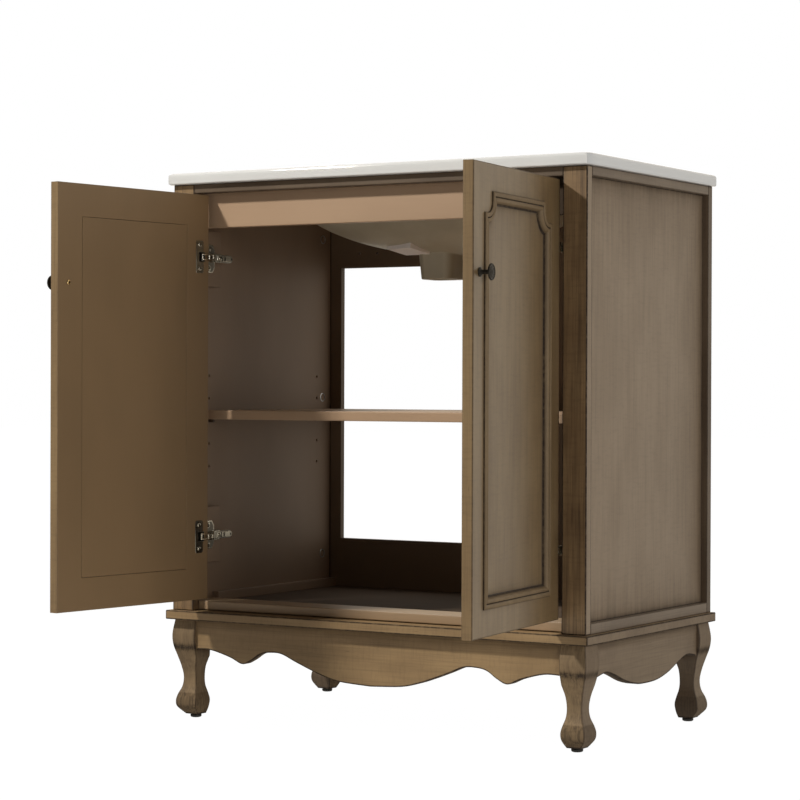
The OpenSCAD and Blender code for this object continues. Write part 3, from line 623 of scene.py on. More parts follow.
inner_board = plain_board("inner_board", (140, 118, 96), (130, 109, 88), 0.54)
tan_board = plain_board("tan_board", (180, 151, 123), (172, 143, 115), 0.45)
sill_board = plain_board("sill_board", (166, 141, 112), (155, 131, 103), 0.42)
floor_wood = plain_board("floor_wood", (80, 63, 46), (72, 56, 40), 0.85)
back_wall = plain_board("back_wall", (118, 98, 77), (108, 89, 69), 0.6)
door_back = plain_board("door_back", (132, 107, 75), (124, 100, 69), 0.5)


def glazed_ceramic():
    """White glaze on the side in use, and thin greyish glaze underneath, where the soft mark is."""
    paint = Paint(bpy.data.materials.new("ceramic"))
    under = paint.mark("soft").rise(0.1, 0.9)
    cloud = paint.noise(paint.place(), 14.0, 3.0, 0.5)
    white = paint.blend(cloud * 0.5, srgb(232, 233, 232), srgb(226, 228, 228))
    raw = paint.blend(cloud.rise(0.35, 0.65), srgb(176, 168, 148), srgb(164, 155, 135))
    return paint.finish(Base_Color=paint.blend(under, white, raw), Roughness=0.08 + 0.4 * under,
                        Coat_Weight=0.4 * (1 - under))


def metal(name, tone, rough):
    """Plated metal with slight smears in its gloss, dull and dark where its line mark is set, which in the
    cups, slots and screw recesses is painted shade.
    """
    paint = Paint(bpy.data.materials.new(name))
    smear = paint.noise(paint.place(), 220.0, 3.0, 0.6)
    colour = paint.blend(smear * 0.1, tone, tuple(0.4 * c for c in tone))
    # The line mark: painted shade in cups, slots and recesses, and some wear
    wear_and_shade = paint.mark("line")
    colour = paint.blend(wear_and_shade * 0.85, colour, srgb(36, 33, 29))
    return paint.finish(Base_Color=colour, Metallic=1.0, Roughness=rough + 0.12 * smear + 0.3 * wear_and_shade)


def bronze_paint():
    """Dark bronze, rubbed a little lighter where it is handled."""
    paint = Paint(bpy.data.materials.new("bronze"))
    rub = paint.noise(paint.place(), 340.0, 3.0, 0.6)
    colour = paint.blend(rub.rise(0.5, 0.75) * 0.5, srgb(44, 41, 36), srgb(88, 80, 66))
    return paint.finish(Base_Color=colour, Metallic=0.7, Roughness=0.42 + 0.2 * rub)


def moulded(name, tone, rough):
    """Moulded plastic or rubber with a fine grain."""
    paint = Paint(bpy.data.materials.new(name))
    grain = paint.noise(paint.place(), 900.0, 2.0, 0.5)
    colour = paint.blend(grain * 0.3, tone, tuple(0.7 * c for c in tone))
    return paint.finish(Base_Color=colour, Roughness=rough, Normal=paint.bump(grain, 0.0001, 0.3))


ceramic = glazed_ceramic()
nickel = metal("nickel", srgb(178, 173, 160), 0.16)
brass = metal("brass", srgb(205, 178, 128), 0.2)
zinc = metal("zinc", srgb(186, 188, 190), 0.3)
bronze = bronze_paint()
rubber = moulded("rubber", srgb(30, 30, 30), 0.7)
pale_pad = moulded("pale_pad", srgb(238, 232, 228), 0.8)


# Worktop, bowl and boss

BOWL_FROM_FRONT, TAP_FROM_BACK, TAP_HOLE_R = 232.0, 34.0, 17.5
BOWL_CENTRE_Y = top_low[1] + BOWL_FROM_FRONT
SLAB_T = top_high[2] - top_z
RIM_ROLL, TOP_CORNER, TOP_ROUND, LOW_ROUND = 5.0, 3.0, 5.0, 2.5
BOWL_A, BOWL_B, BOWL_POWER, BOWL_SLOPE = 265.0, 158.0, 2.6, 1.65
BOWL_LIP_Z, BOWL_DEPTH, BOWL_WALL = top_z + 2, 114.0, 11.0
DRAIN_R, DRAIN_ROUND, DRAIN_RISE = 22.5, 1.5, 2.6
BOSS_HALF, BOSS_CORNER, BOSS_WIDENING, BOSS_FILLET, BOSS_ROUND = 28.5, 13.0, 0.16 / 58, 3.0, 2.5
BOSS_JOINT_H = 42.0
AROUND = 288
turn = 2 * math.pi * np.arange(AROUND) / AROUND


def oval(half_x, half_y):
    """A rounded oval: |x/a|^p + |y/b|^p = 1 at each turn."""
    c, s = np.cos(turn), np.sin(turn)
    r = (np.abs(c) ** BOWL_POWER + np.abs(s) ** BOWL_POWER) ** (-1 / BOWL_POWER)
    return np.stack([half_x * r * c, BOWL_CENTRE_Y + half_y * r * s], axis=-1)


def bowl_scale(a):
    """The size of the bowl's ring, as a share of its top, where sin(a) of its depth is reached."""
    return math.cos(a) ** (2 / BOWL_SLOPE)


def underside_z(points):
    """The height of the bowl's outer surface at points (x, y)."""
    x, y = np.abs(points[:, 0] / BOWL_A), np.abs((points[:, 1] - BOWL_CENTRE_Y) / BOWL_B)
    share = (x ** BOWL_POWER + y ** BOWL_POWER) ** (BOWL_SLOPE / BOWL_POWER)
    return BOWL_LIP_Z - BOWL_DEPTH * np.sqrt(1 - share)


def rounded_box_ring(half_x, half_y, centre_y, corner, aim):
    """The points where rays from the centre at the given directions meet a rectangle with round
    corners."""
    c, s = np.cos(aim), np.sin(aim)
    r = np.minimum(half_x / np.maximum(np.abs(c), 1e-9), half_y / np.maximum(np.abs(s), 1e-9))
    kx, ky = half_x - corner, half_y - corner
    in_corner = (np.abs(r * c) > kx) & (np.abs(r * s) > ky)
    along = np.abs(c) * kx + np.abs(s) * ky
    reach = along + np.sqrt(np.maximum(along ** 2 - (kx ** 2 + ky ** 2 - corner ** 2), 0))
    r = np.where(in_corner, reach, r)
    return np.stack([r * c, centre_y + r * s], axis=-1)


def basin():
    """The casting as one closed sheet of rings round the drain: up the bowl, over the rim, across
    the slab, down its edge, under it, down the bowl's outside, the boss and back up the drain."""
    half_w, half_d = top_high[0], (top_high[1] - top_low[1]) / 2
    mid_y = (top_high[1] + top_low[1]) / 2
    surface_z = top_z + SLAB_T
    floor_z, boss_z = BOWL_LIP_Z - BOWL_DEPTH + BOWL_WALL, top_low[2]
    aim = np.arctan2(BOWL_B * np.sin(turn), BOWL_A * np.cos(turn))
    in_a, in_b = BOWL_A - BOWL_WALL, BOWL_B - BOWL_WALL

    def ring(points, z):
        return np.column_stack([points, np.broadcast_to(z, AROUND)])

    def circle(r):
        return np.stack([r * np.cos(aim), BOWL_CENTRE_Y + r * np.sin(aim)], axis=-1)

    rings = [ring(circle(DRAIN_R), floor_z + DRAIN_ROUND),
             ring(circle(DRAIN_R + DRAIN_ROUND), floor_z + DRAIN_RISE)]
    for a in np.radians(np.linspace(78, 8, 26)):
        f = bowl_scale(a)
        blend = min(1.0, max(0.0, (f - 0.02) / 0.25))
        edge = (1 - blend) * circle(max(DRAIN_R + 3, in_a * f)) + blend * oval(in_a * f, in_b * f)
        if f * in_b > DRAIN_R + 4:
            rings.append(ring(edge, surface_z - (surface_z - floor_z) * math.sin(a)))
    for a in np.radians(np.linspace(80, 0, 7)):
        grow = RIM_ROLL * (1 - math.sin(a)) * 1.4 - 1
        rings.append(ring(oval(in_a + grow, in_b + grow), surface_z - RIM_ROLL * (1 - math.cos(a)) * 0.6))
    rim = oval(BOWL_A, BOWL_B)
    rim_aim = np.arctan2(rim[:, 1] - mid_y, rim[:, 0])
    for radius, first, last, count, level, way in ((TOP_ROUND, 0, 90, 8, surface_z, -1),
                                                   (LOW_ROUND, 90, 0, 4, top_z, 1)):
        for a in np.radians(np.linspace(first, last, count)):
            inset = radius * (1 - math.sin(a))
            rings.append(ring(rounded_box_ring(half_w - inset, half_d - inset, mid_y,
                                               TOP_CORNER - inset * 0.4, rim_aim),
                              level + way * radius * (1 - math.cos(a))))
    inside = len(rings)
    for a in np.radians(np.linspace(2, 70, 30)):
        f = bowl_scale(a)
        rings.append(ring(oval(BOWL_A * f, BOWL_B * f), BOWL_LIP_Z - BOWL_DEPTH * math.sin(a)))

    def boss_ring(height, grow):
        wide = 1 + BOSS_WIDENING * height
        return rounded_box_ring(BOSS_HALF * wide + grow, BOSS_HALF * wide + grow, BOWL_CENTRE_Y,
                                BOSS_CORNER * wide + grow, aim)
    joint_z = underside_z(boss_ring(BOSS_JOINT_H, BOSS_FILLET))
    for a in np.radians(np.linspace(0, 90, 6)):
        rings.append(ring(boss_ring(BOSS_JOINT_H, BOSS_FILLET * (1 - math.sin(a))),
                          joint_z - BOSS_FILLET * (1 - math.cos(a))))
    for a in np.radians(np.linspace(90, 0, 5)):
        rings.append(ring(boss_ring(0, BOSS_ROUND * (math.sin(a) - 1)),
                          boss_z + BOSS_ROUND * (1 - math.cos(a))))
    rings += [ring(circle(DRAIN_R + 1), boss_z), ring(circle(DRAIN_R), boss_z + 1)]
    rings.append(rings[0])
    under = (np.arange(len(rings)) >= inside) & (np.arange(len(rings)) < len(rings) - 1)
    shell = Shell().grid(np.array(rings), soft=under[:, None], around=True)
    piece = shell.build("worktop_and_bowl", sharp=50)
    tap_at = (0, top_high[1] - TAP_FROM_BACK, 0)
    drill(piece, rod(Shell(), tap_at, 2, top_z - 5, surface_z + 5, TAP_HOLE_R, 48))
    return fit(piece, ceramic, "cabinet", "basin_top")


# The pad's middle, from the worktop's front edge, its half sizes, its turn and its two slopes
PAD_AT, PAD_HALF, PAD_TURN = (-37.7, 187.0, 753.3), (29.0, 21.5), -17.0
PAD_SLOPES, PAD_CORNER, PAD_ROUND = (-0.062, -0.188), 1.5, 0.8


def pad():
    """The pad: a tilted slab with rounded lower edges, whose upper side ends in the bowl's wall."""
    c, s = math.cos(math.radians(PAD_TURN)), math.sin(math.radians(PAD_TURN))
    rows = []
    for a in np.radians((90, 60, 30, 0, 0)):
        inset = PAD_ROUND * (1 - math.cos(a))
        outline, _ = rounded_outline(-PAD_HALF[0] + inset, PAD_HALF[0] - inset, -PAD_HALF[1] + inset,
                                     PAD_HALF[1] - inset, PAD_CORNER)
        across = outline @ np.array([[c, s], [-s, c]])
        z = PAD_AT[2] + across @ np.array(PAD_SLOPES) + PAD_ROUND * (1 - math.sin(a))
        rows.append(np.column_stack([across + (PAD_AT[0], top_low[1] + PAD_AT[1]), z]))
    rows[-1][:, 2] = underside_z(rows[-1][:, :2]) + 1
    shell = Shell().grid(np.array(rows), around=True).face(rows[0]).face(rows[-1])
    fit(shell.build("bowl_pad"), pale_pad, "cabinet", "basin_pad")


basin()
pad()


# Cabinet boards

for side, s in SIDES:
    post = timber("front_post_" + side + "_wood", "front_post_" + side, post_wood, radius=1.2, edge=0.9)
    coat(post, side_wood, (s, 0, 0))
    timber("back_post_" + side + "_wood", "back_post_" + side, back_wood)
    timber("side_top_rail_" + side + "_wood", "side_top_rail_" + side, rail_wood, along=1)
    timber("side_bottom_rail_" + side + "_wood", "side_bottom_rail_" + side, rail_wood, along=1)
    timber("floor_cleat_" + side + "_wood", "floor_cleat_" + side, inner_board, along=1)
plinth = timber("plinth_wood", "plinth_board", front_wood, along=0, radius=1.5, edge=0.8)
# The plinth's ends take the darker side copy of its wood, as painted shade
for _, s in SIDES:
    coat(plinth, base_wood, (s, 0, 0))
# The face rail takes the darker back wood: painted shade under the worktop's edge
timber("face_rail_wood", "face_top_rail", back_wood, along=0)
# shaded paints shade on the inner rail's far end, seen beside the right door
timber("inner_rail_board", "inner_top_rail", tan_board, along=0, shaded=62, edge=0.3)
timber("floor_rail_board", "floor_front_rail", sill_board, along=0)
timber("floor_board", "floor_panel", floor_wood, along=0)
# shaded paints shade on the shelf's far end, seen beside the right door
timber("shelf_board", "shelf", tan_board, body="shelf", along=0, shaded=52, edge=0.3)

# Distances of the dark rim's steps from the front post, back post, top rail and bottom rail, with
# the rim's line and soft marks. The rim is glaze and painted shade along the frame.
RIM_STEPS = ((0, 0, 0, 0, 1.0, 0.9), (1.0, 1.8, 1.6, 1.8, 0.4, 0.75), (3, 8, 10, 7, 0, 0.46),
             (7, 22, 30, 20, 0, 0.24), (14, 55, 80, 52, 0, 0.1), (30, 110, 150, 100, 0, 0))
PIN_HOLE_R, PIN_HOLE_STEP, PIN_HOLE_L = 2.5, 37, 10
pins_low, pins_high = low("shelf_pins"), high("shelf_pins")
pin_ys = (pins_low[1] + PIN_HOLE_R, pins_high[1] - PIN_HOLE_R)
pin_z = pins_low[2] + PIN_HOLE_R


def side_panel(side, s):
    """A side panel: rings drawn in from its frame on the outer face, plain on the inner one, with
    the shelf's pin holes."""
    x0, x1 = panel_low[0], panel_high[0]
    y0, y1 = panel_low[1], panel_high[1]
    z0 = high("side_bottom_rail_right")[2]
    z1 = low("side_top_rail_right")[2]

    def ring(x, front, back, top, bottom):
        return np.array([[x, y0 + front, z0 + bottom], [x, y1 - back, z0 + bottom],
                         [x, y1 - back, z1 - top], [x, y0 + front, z1 - top]])
    shell = Shell()
    tall = (0, 0, z1 - panel_high[2], panel_low[2] - z0)
    rows = [ring(x0, *tall), ring(x1, *tall)] + [ring(x1, *step[:4]) for step in RIM_STEPS]
    line = [0, 1] + [step[4] for step in RIM_STEPS]
    soft = [0, 1] + [step[5] for step in RIM_STEPS]
    shell.grid(np.array(rows), np.array(line)[:, None], np.array(soft)[:, None], around=True)
    shell.face(rows[0]).face(rows[-1])
    piece = shell.build("side_panel_" + side + "_wood", mirrored(s))
    holes = Shell()
    for y in pin_ys:
        for k in range(-2, 3):
            rod(holes, (0, y, pin_z + k * PIN_HOLE_STEP), 0, x0 - 2, x0 + PIN_HOLE_L, PIN_HOLE_R, 16)
    drill(piece, holes, mirrored(s))
    fit(piece, side_wood, "cabinet", "side_panel_" + side)
    coat(piece, inner_board, (-s, 0, 0))


for side, s in SIDES:
    side_panel(side, s)

WALL_HOLE_R, WALL_HOLE_X, WALL_HOLE_STEP, WALL_HOLE_DROP = 2.25, 273.5, 36, 91
# How far the back's cut-out lies in from the panel's left, right, bottom and top edges
CUT_LEFT, CUT_RIGHT, CUT_LOW, CUT_HIGH = 21.5, 258, 95, 116
BACK_ARRIS = 0.8


def back_board():
    """The back panel: its section carried round between the outer edge and the cut-out."""
    lo, hi = low("back_panel"), high("back_panel")
    cut_lo = np.array([lo[0] + CUT_LEFT, 0, lo[2] + CUT_LOW])
    cut_hi = np.array([hi[0] - CUT_RIGHT, 0, hi[2] - CUT_HIGH])
    r = BACK_ARRIS

    def ring(a, b, grow, y):
        return np.array([[a[0] + grow, y, a[2] + grow], [b[0] - grow, y, a[2] + grow],
                         [b[0] - grow, y, b[2] - grow], [a[0] + grow, y, b[2] - grow]])
    rows = [ring(lo, hi, 0, lo[1] + r), ring(lo, hi, r, lo[1]), ring(cut_lo, cut_hi, -r - 2, lo[1]),
            ring(cut_lo, cut_hi, -r, lo[1]), ring(cut_lo, cut_hi, 0, lo[1] + r),
            ring(cut_lo, cut_hi, 0, hi[1] - r), ring(cut_lo, cut_hi, -r, hi[1]),
            ring(cut_lo, cut_hi, -r - 2, hi[1]), ring(lo, hi, r, hi[1]), ring(lo, hi, 0, hi[1] - r)]
    line = [0, 0, 0, 0.8, 0.8, 0.8, 0.8, 0, 0, 0, 0]
    shell = Shell().grid(np.array(rows + rows[:1]), np.array(line)[:, None], around=True)
    piece = shell.build("back_board", grain=grain_along(0))
    holes = Shell()
    for x in (s * WALL_HOLE_X + k * WALL_HOLE_STEP / 2 for s in (-1, 1) for k in (-1, 1)):
        rod(holes, (x, 0, top_z - WALL_HOLE_DROP), 1, lo[1] - 2, hi[1] + 2, WALL_HOLE_R, 16)
    drill(piece, holes)
    fit(piece, back_wall, "cabinet", "back_panel")


back_board()

# Legs, aprons and glides

LEG_W, LEG_ARRIS, GLIDE_H = 43.5, 1.8, 6.0
TOE_IN, FOOT_IN, ANKLE_IN, ANKLE_BACK = 15.0, 3.2, 12.3, 6.0
FOOT_Z, ANKLE_Z, KNEE_Z = 28.0, 66.0, leg_top - 24
# Set-in of a leg's outer and inner faces up its height
leg_outer = smooth_curve([
    (TOE_IN, GLIDE_H), (TOE_IN * 0.63, GLIDE_H * 2), (FOOT_IN * 1.3, FOOT_Z * 0.68), (FOOT_IN, FOOT_Z),
    (between(FOOT_IN, ANKLE_IN, 0.25), between(FOOT_Z, ANKLE_Z, 0.26)),
    (ANKLE_IN * 0.87, between(FOOT_Z, ANKLE_Z, 0.6)), (ANKLE_IN, ANKLE_Z),
    (ANKLE_IN * 0.79, between(ANKLE_Z, KNEE_Z, 0.24)), (ANKLE_IN * 0.41, between(ANKLE_Z, KNEE_Z, 0.49)),
    (0.2, between(ANKLE_Z, KNEE_Z, 0.74)), (-1, KNEE_Z), (2.5, leg_top)], 6)
leg_inner = smooth_curve([
    (4.5, GLIDE_H), (1.5, FOOT_Z * 0.57), (0, FOOT_Z), (ANKLE_BACK / 3, between(FOOT_Z, ANKLE_Z, 0.29)),
    (ANKLE_BACK * 0.87, between(FOOT_Z, ANKLE_Z, 0.63)), (ANKLE_BACK, ANKLE_Z),
    (ANKLE_BACK * 0.8, between(ANKLE_Z, KNEE_Z, 0.23)),
    (ANKLE_BACK * 0.27, between(ANKLE_Z, KNEE_Z, 0.41)),
    (0, between(ANKLE_Z, KNEE_Z, 0.56)), (0, leg_top)], 6)
# Heights and widths of the dark bands at a leg's knee and foot
CRACKLE_Z, CRACKLE_H = 115.0, 5.0
FOOT_LINE_Z, FOOT_LINE_H = 41.0, 2.2


def leg(name, end_y, inward, s, node):
    """A leg: a square with small round corners at each height, as wide as its two outlines. The
    bands' marks rise as exp(-((z - height) / width)^2)."""
    zs = np.linspace(GLIDE_H, leg_top, 78)
    out = np.interp(zs, leg_outer[:, 1], leg_outer[:, 0])
    back = np.maximum(0, np.interp(zs, leg_inner[:, 1], leg_inner[:, 0]))
    rows, lines, softs = [], [], []
    for z, o, b in zip(zs, out, back):
        ys = sorted((end_y + inward * o, end_y + inward * (LEG_W - b)))
        ring, line = rounded_outline(side_x - LEG_W + b, side_x - o, *ys, LEG_ARRIS, (LEG_ARRIS + 0.9, 9))
        rows.append(np.column_stack([ring, np.full(len(ring), z)]))
        knee = 0.9 * math.exp(-((z - CRACKLE_Z) / CRACKLE_H) ** 2)
        foot = 0.55 * math.exp(-((z - FOOT_LINE_Z) / FOOT_LINE_H) ** 2)
        low_foot = 0.5 if z < FOOT_LINE_Z else 0.14
        lines.append(np.maximum(line * 0.58, foot * 0.6 + (0.8 if z < GLIDE_H + 2 else 0)))
        softs.append(np.full(len(ring), knee + low_foot))
    shell = Shell().grid(np.array(rows), np.array(lines), np.array(softs), around=True)
    shell.face(rows[0], 0.8).face(rows[-1])
    piece = fit(shell.build(name, mirrored(s), sharp=40), leg_wood, "cabinet", node)
    # Faces that look out to the side take the darker, greyer side wood: painted shade
    coat(piece, base_wood, (s, 0, 0))
    # The back legs' front faces take the dark back wood: painted shade under the cabinet
    if inward < 0:
        coat(piece, back_wood, (0, -1, 0))


for side, s in SIDES:
    leg("front_leg_" + side, face_y, 1, s, "leg_front_" + side)
    leg("back_leg_" + side, back_y, -1, s, "leg_back_" + side)

EDGE = 1.4


def apron(name, edge, y0, y1, node, material, place=None):
    """An apron: at each point (x, z) of its lower edge a section runs down the front, round the
    edge and up the back."""
    turn = np.radians(90 * np.arange(4) / 3)
    x, z = edge[:, :1], edge[:, 1:]
    # The soft marks at the top of the front paint the plinth's shadow
    down = [(y0, leg_top + 0 * z, 0.6, 0.6), (y0, leg_top - 4 + 0 * z, 0, 0.45),
            (y0, leg_top - 16 + 0 * z, 0, 0), (y0, z + EDGE + 2.2, 0, 0)]
    down += [(y0 + EDGE * (1 - math.cos(a)), z + EDGE * (1 - math.sin(a)), 0.85, 0) for a in turn]
    down += [(y1 - EDGE * (1 - math.cos(a)), z + EDGE * (1 - math.sin(a)), 0.6, 0) for a in turn[::-1]]
    down += [(y1, leg_top + 0 * z, 0, 0)]
    columns = [np.concatenate([x, np.full_like(x, y), level], axis=1) for y, level, _, _ in down]
    shell = Shell().grid(np.stack(columns, axis=1), np.array([d[2] for d in down])[None],
                         np.array([d[3] for d in down])[None], around=True)
    for end in (0, -1):
        shell.face(np.array([c[end] for c in columns]))
    fit(shell.build(name, place, grain=grain_along(0)), material, "cabinet", node)


def both_ends(half):
    """An outline and its mirror image, joined in the middle."""
    return np.vstack([half, (half * (-1, 1))[::-1][1:]])


# Heights of the front apron at its ends, crests, side drops and middle, and where those lie
APRON_END, APRON_CREST, APRON_DROP, APRON_MID = 47.5, 44.5, 66.0, 85.5
CREST_X, DROP_X, APRON_FLAT = 184.0, 241.0, 28.0
apron_x = side_x - LEG_W


def drop(t):
    """The apron's lower edge from its side drop (t = 0) to its crest (t = 1)."""
    return (-between(DROP_X, CREST_X, t), leg_top - between(APRON_DROP, APRON_CREST, t))


def wave(x, t):
    """A point between the crest (x = 1, t = 0) and the middle (x = 0, t = 1)."""
    return (-CREST_X * x, leg_top - between(APRON_CREST, APRON_MID, t))


front_edge = smooth_curve([
    (-apron_x, leg_top - APRON_END), (-apron_x + APRON_FLAT, leg_top - APRON_END),
    (drop(-0.42)[0], leg_top - between(APRON_END, APRON_DROP, 0.5)), drop(0),
    (drop(0.31)[0], drop(0.3)[1]), (drop(0.64)[0], drop(0.84)[1]), drop(1),
    wave(0.895, 0.035), wave(0.76, 0.28), wave(0.595, 0.56), wave(0.46, 0.76), wave(0.3, 0.92),
    wave(0, 1)], 6)
front_apron_y = low("front_apron")[1], high("front_apron")[1]
apron("wavy_front_apron", both_ends(front_edge), *front_apron_y, "front_apron", front_wood)

SIDE_CREST, SIDE_MID, CREST_SHARE = 47.5, 77.0, 0.815
side_low, side_high = low("side_apron_right"), high("side_apron_right")
side_mid_y = (side_low[1] + side_high[1]) / 2
side_half = (side_high[1] - side_low[1]) / 2
side_crest = side_half * CREST_SHARE
side_edge = smooth_curve([
    (-side_half, leg_top - SIDE_CREST - 5), (-side_crest, leg_top - SIDE_CREST),
    *((-side_crest * x, leg_top - between(SIDE_CREST, SIDE_MID, t))
      for x, t in ((0.81, 0.2), (0.52, 0.68), (0.24, 0.95), (0, 1)))], 6)


def side_apron_place(s):
    """Turns an apron drawn along X to lie along Y on the given side."""
    def place(points):
        along, out, up = points.T
        return np.stack([s * (side_high[0] - out), side_mid_y + along, up], axis=1)
    return place


# The side aprons are in the darker, greyer side wood: painted shade on faces that look to the side
for side, s in SIDES:
    apron("wavy_side_apron_" + side, both_ends(side_edge), 0, side_high[0] - side_low[0],
          "side_apron_" + side, base_wood, side_apron_place(s))

glides = Shell()
GLIDE_R = 9.0
glide_low = low("leg_glides")
for x in (glide_low[0] + GLIDE_R, -glide_low[0] - GLIDE_R):
    for y in (glide_low[1] + GLIDE_R, high("leg_glides")[1] - GLIDE_R):
        lathe(glides, [(0, 0), (6.5, 0), (8.2, 0.7), (9, 2.2), (9, 4.2), (7.2, 4.8), (7.2, 6), (0, 6)],
              (x, y, 0), 2, 1)
fit(glides.build("foot_glides"), rubber, "cabinet", "leg_glides")


# Doors

MARGIN, PANEL_IN, FIELD = 38.0, 50.0, 5.0
NOTCH_R, SHOULDER_X, SHOULDER_Z = 17.0, 11.0, 13.0
NOTCH_W, NOTCH_H = NOTCH_R + SHOULDER_X, NOTCH_R + SHOULDER_Z
ARC = 10
mid_x = (door_x0 + door_x1) / 2
window_x, window_z = door_x1 - MARGIN, door_z1 - MARGIN


def both_halves(right):
    """The right half of an outline from bottom to top, joined to its mirror image."""
    return np.vstack([right, (right * (-1, 1) + (2 * mid_x, 0))[::-1]])


def mould_outline(t):
    """The moulding's outline drawn in by t: a rectangle whose top corners are notched by a quarter
    circle between two short shoulders."""
    r = NOTCH_R + t
    start = math.acos(min(1.0, max(0.0, (t - SHOULDER_X) / r)))
    end = math.asin(min(1.0, max(0.0, (t - SHOULDER_Z) / r)))
    a = np.linspace(start, end, ARC + 1)
    arc = np.stack([window_x - SHOULDER_X - r * np.cos(a), window_z - SHOULDER_Z - r * np.sin(a)], axis=1)
    return both_halves(np.vstack([[(window_x - t, door_z0 + MARGIN + t)], [(window_x - t, arc[0, 1])], arc,
                                  [(arc[-1, 0], window_z - t)]]))


def frame_ring(d):
    """A rectangle drawn in by d from the door's edge, with as many points as the outline."""
    x, z = door_x1 - d, door_z1 - d
    notch_x, notch_z = window_x - NOTCH_W, window_z - NOTCH_H
    f = np.linspace(0, 2, ARC + 3)[:, None]
    up = np.hstack([np.full_like(f, x), notch_z + (z - notch_z) * f])
    over = np.hstack([x + (notch_x - x) * (f - 1), np.full_like(f, z)])
    return both_halves(np.vstack([[(x, door_z0 + d)], np.where(f <= 1, up, over)]))


def at_depth(outline, y):
    """An outline of a door, (x, z), set at the depth y."""
    return np.column_stack([outline[:, 0], np.full(len(outline), y), outline[:, 1]])


def ringed(steps):
    """A shell of rings. Each step gives its outline and how far that is drawn in, the depth behind
    the door's face, the line mark and the soft mark."""
    rows = np.array([at_depth(outline(inset), face_y + depth) for outline, inset, depth, _, _ in steps])
    line, soft = (np.array([step[k] for step in steps], float)[:, None] for k in (3, 4))
    return Shell().grid(rows, line, soft, around=True), rows


# From the rounded front edge to the moulding's outline, through the window, back to the groove on
# the inner face and round the back edge
FRAME_STEPS = (
    (frame_ring, 0, DOOR_T - 3, 0, 0), (frame_ring, 0, 2.6, 0, 0), (frame_ring, 0, 1.2, 0.6, 0),
    (frame_ring, 0.35, 0.35, 0.66, 0), (frame_ring, 1.2, 0, 0.6, 0), (frame_ring, 2.6, 0, 0, 0),
    (mould_outline, -9, 0, 0, 0), (mould_outline, -2, 0, 0, 0.12), (mould_outline, -0.7, 0, 0.2, 0.4),
    (mould_outline, 0.2, 0, 1, 0.5), (mould_outline, 11, 0, 1, 0), (mould_outline, 11.6, FIELD, 1, 0),
    (frame_ring, PANEL_IN, DOOR_T - 1.6, 0.6, 0), (frame_ring, PANEL_IN, DOOR_T - 0.3, 0.5, 0),
    (frame_ring, PANEL_IN - 0.3, DOOR_T, 0.2, 0), (frame_ring, PANEL_IN - 1.4, DOOR_T, 0, 0),
    (frame_ring, 2.4, DOOR_T, 0, 0), (frame_ring, 0.8, DOOR_T, 0.6, 0),
    (frame_ring, 0.2, DOOR_T - 0.2, 0.6, 0), (frame_ring, 0, DOOR_T - 0.8, 0.5, 0))

# From the plain rectangle on the inner face, round its edge, to the field with its dark rim of glaze
# and painted shadow of the moulding
PANEL_STEPS = (
    (frame_ring, PANEL_IN + 4, DOOR_T, 0, 0), (frame_ring, PANEL_IN + 2, DOOR_T, 0, 0),
    (frame_ring, PANEL_IN + 0.7, DOOR_T - 0.1, 0.2, 0), (frame_ring, PANEL_IN + 0.5, DOOR_T - 0.4, 0.4, 0),
    (frame_ring, PANEL_IN + 0.5, DOOR_T - 2, 0.6, 0), (mould_outline, 15, FIELD + 0.5, 1, 0),
    (mould_outline, 15, FIELD, 1, 0.6), (mould_outline, 17.6, FIELD, 1, 0.7),
    (mould_outline, 18.8, FIELD, 0.35, 0.6), (mould_outline, 22, FIELD, 0, 0.34),
    (mould_outline, 28, FIELD, 0, 0.16), (mould_outline, 40, FIELD, 0, 0.05),
    (mould_outline, 60, FIELD, 0, 0))


def door_frame(side, s):
    """The frame: its rings, closed to a loop, with the spaces for the cups cut in."""
    shell, _ = ringed(FRAME_STEPS + FRAME_STEPS[:1])
    piece = shell.build(side + "_door_frame_wood", on_door(s))
    drill(piece, cup_spaces(), on_door(s))
    fit(piece, door_wood, side + "_door", side + "_door_frame")
    coat(piece, door_back, door_direction(s, (0, 1, 0)))
    coat(piece, front_wood, door_direction(s, (-1, 0, 0)))


def door_panel(side, s):
    """The panel: its rings, closed with flat faces."""
    shell, rows = ringed(PANEL_STEPS)
    shell.face(rows[0]).face(rows[-1])
    piece = shell.build(side + "_door_field", on_door(s))
    fit(piece, door_wood, side + "_door", side + "_door_panel")
    coat(piece, door_back, door_direction(s, (0, 1, 0)))


# Section of the moulding: distance in from its outline, height over the door's face, line mark.
# The line mark is dark glaze in the grooves, and painted shade on the inner slope down to the field.
MOULD_SECTION = (
    (0, -0.4, 1), (0, 0.5, 1), (0.3, 1.4, 0.8), (1.0, 2.5, 0.1), (2.2, 3.3, 0), (3.7, 3.5, 0), (5.0, 3.2, 0),
    (6.0, 2.5, 0.2), (6.7, 1.4, 0.95), (7.2, 0.9, 1), (7.8, 1.2, 0.95), (8.4, 2.0, 0.2), (9.4, 2.7, 0),
    (10.8, 2.8, 0), (12.2, 2.2, 0.05), (13.4, 1.0, 0.3), (14.4, -0.7, 0.45), (15.3, -2.4, 0.6),
    (16.1, -3.7, 1), (16.7, -4.4, 1), (17.5, -4.9, 1), (17.5, -5.2, 1), (9, -0.5, 1))


def door_moulding(side, s):
    """The moulding: its section carried round the outline, with the grain along the path."""
    rows, grain = [], []
    path = mould_outline(8)
    run = np.concatenate([[0], np.cumsum(np.linalg.norm(np.diff(path, axis=0), axis=1))])
    section = MOULD_SECTION + MOULD_SECTION[:1]
    for t, h, _ in section:
        rows.append(at_depth(mould_outline(t), face_y - h))
        grain.append(np.column_stack([np.full(len(run), t), np.full(len(run), h), run]))
    line = np.array([m for _, _, m in section], float)[:, None]
    shell = Shell().grid(np.array(rows), line, 0.05, True, np.array(grain))
    fit(shell.build(side + "_door_beading", on_door(s), sharp=50), beading_wood,
        side + "_door", side + "_door_moulding")


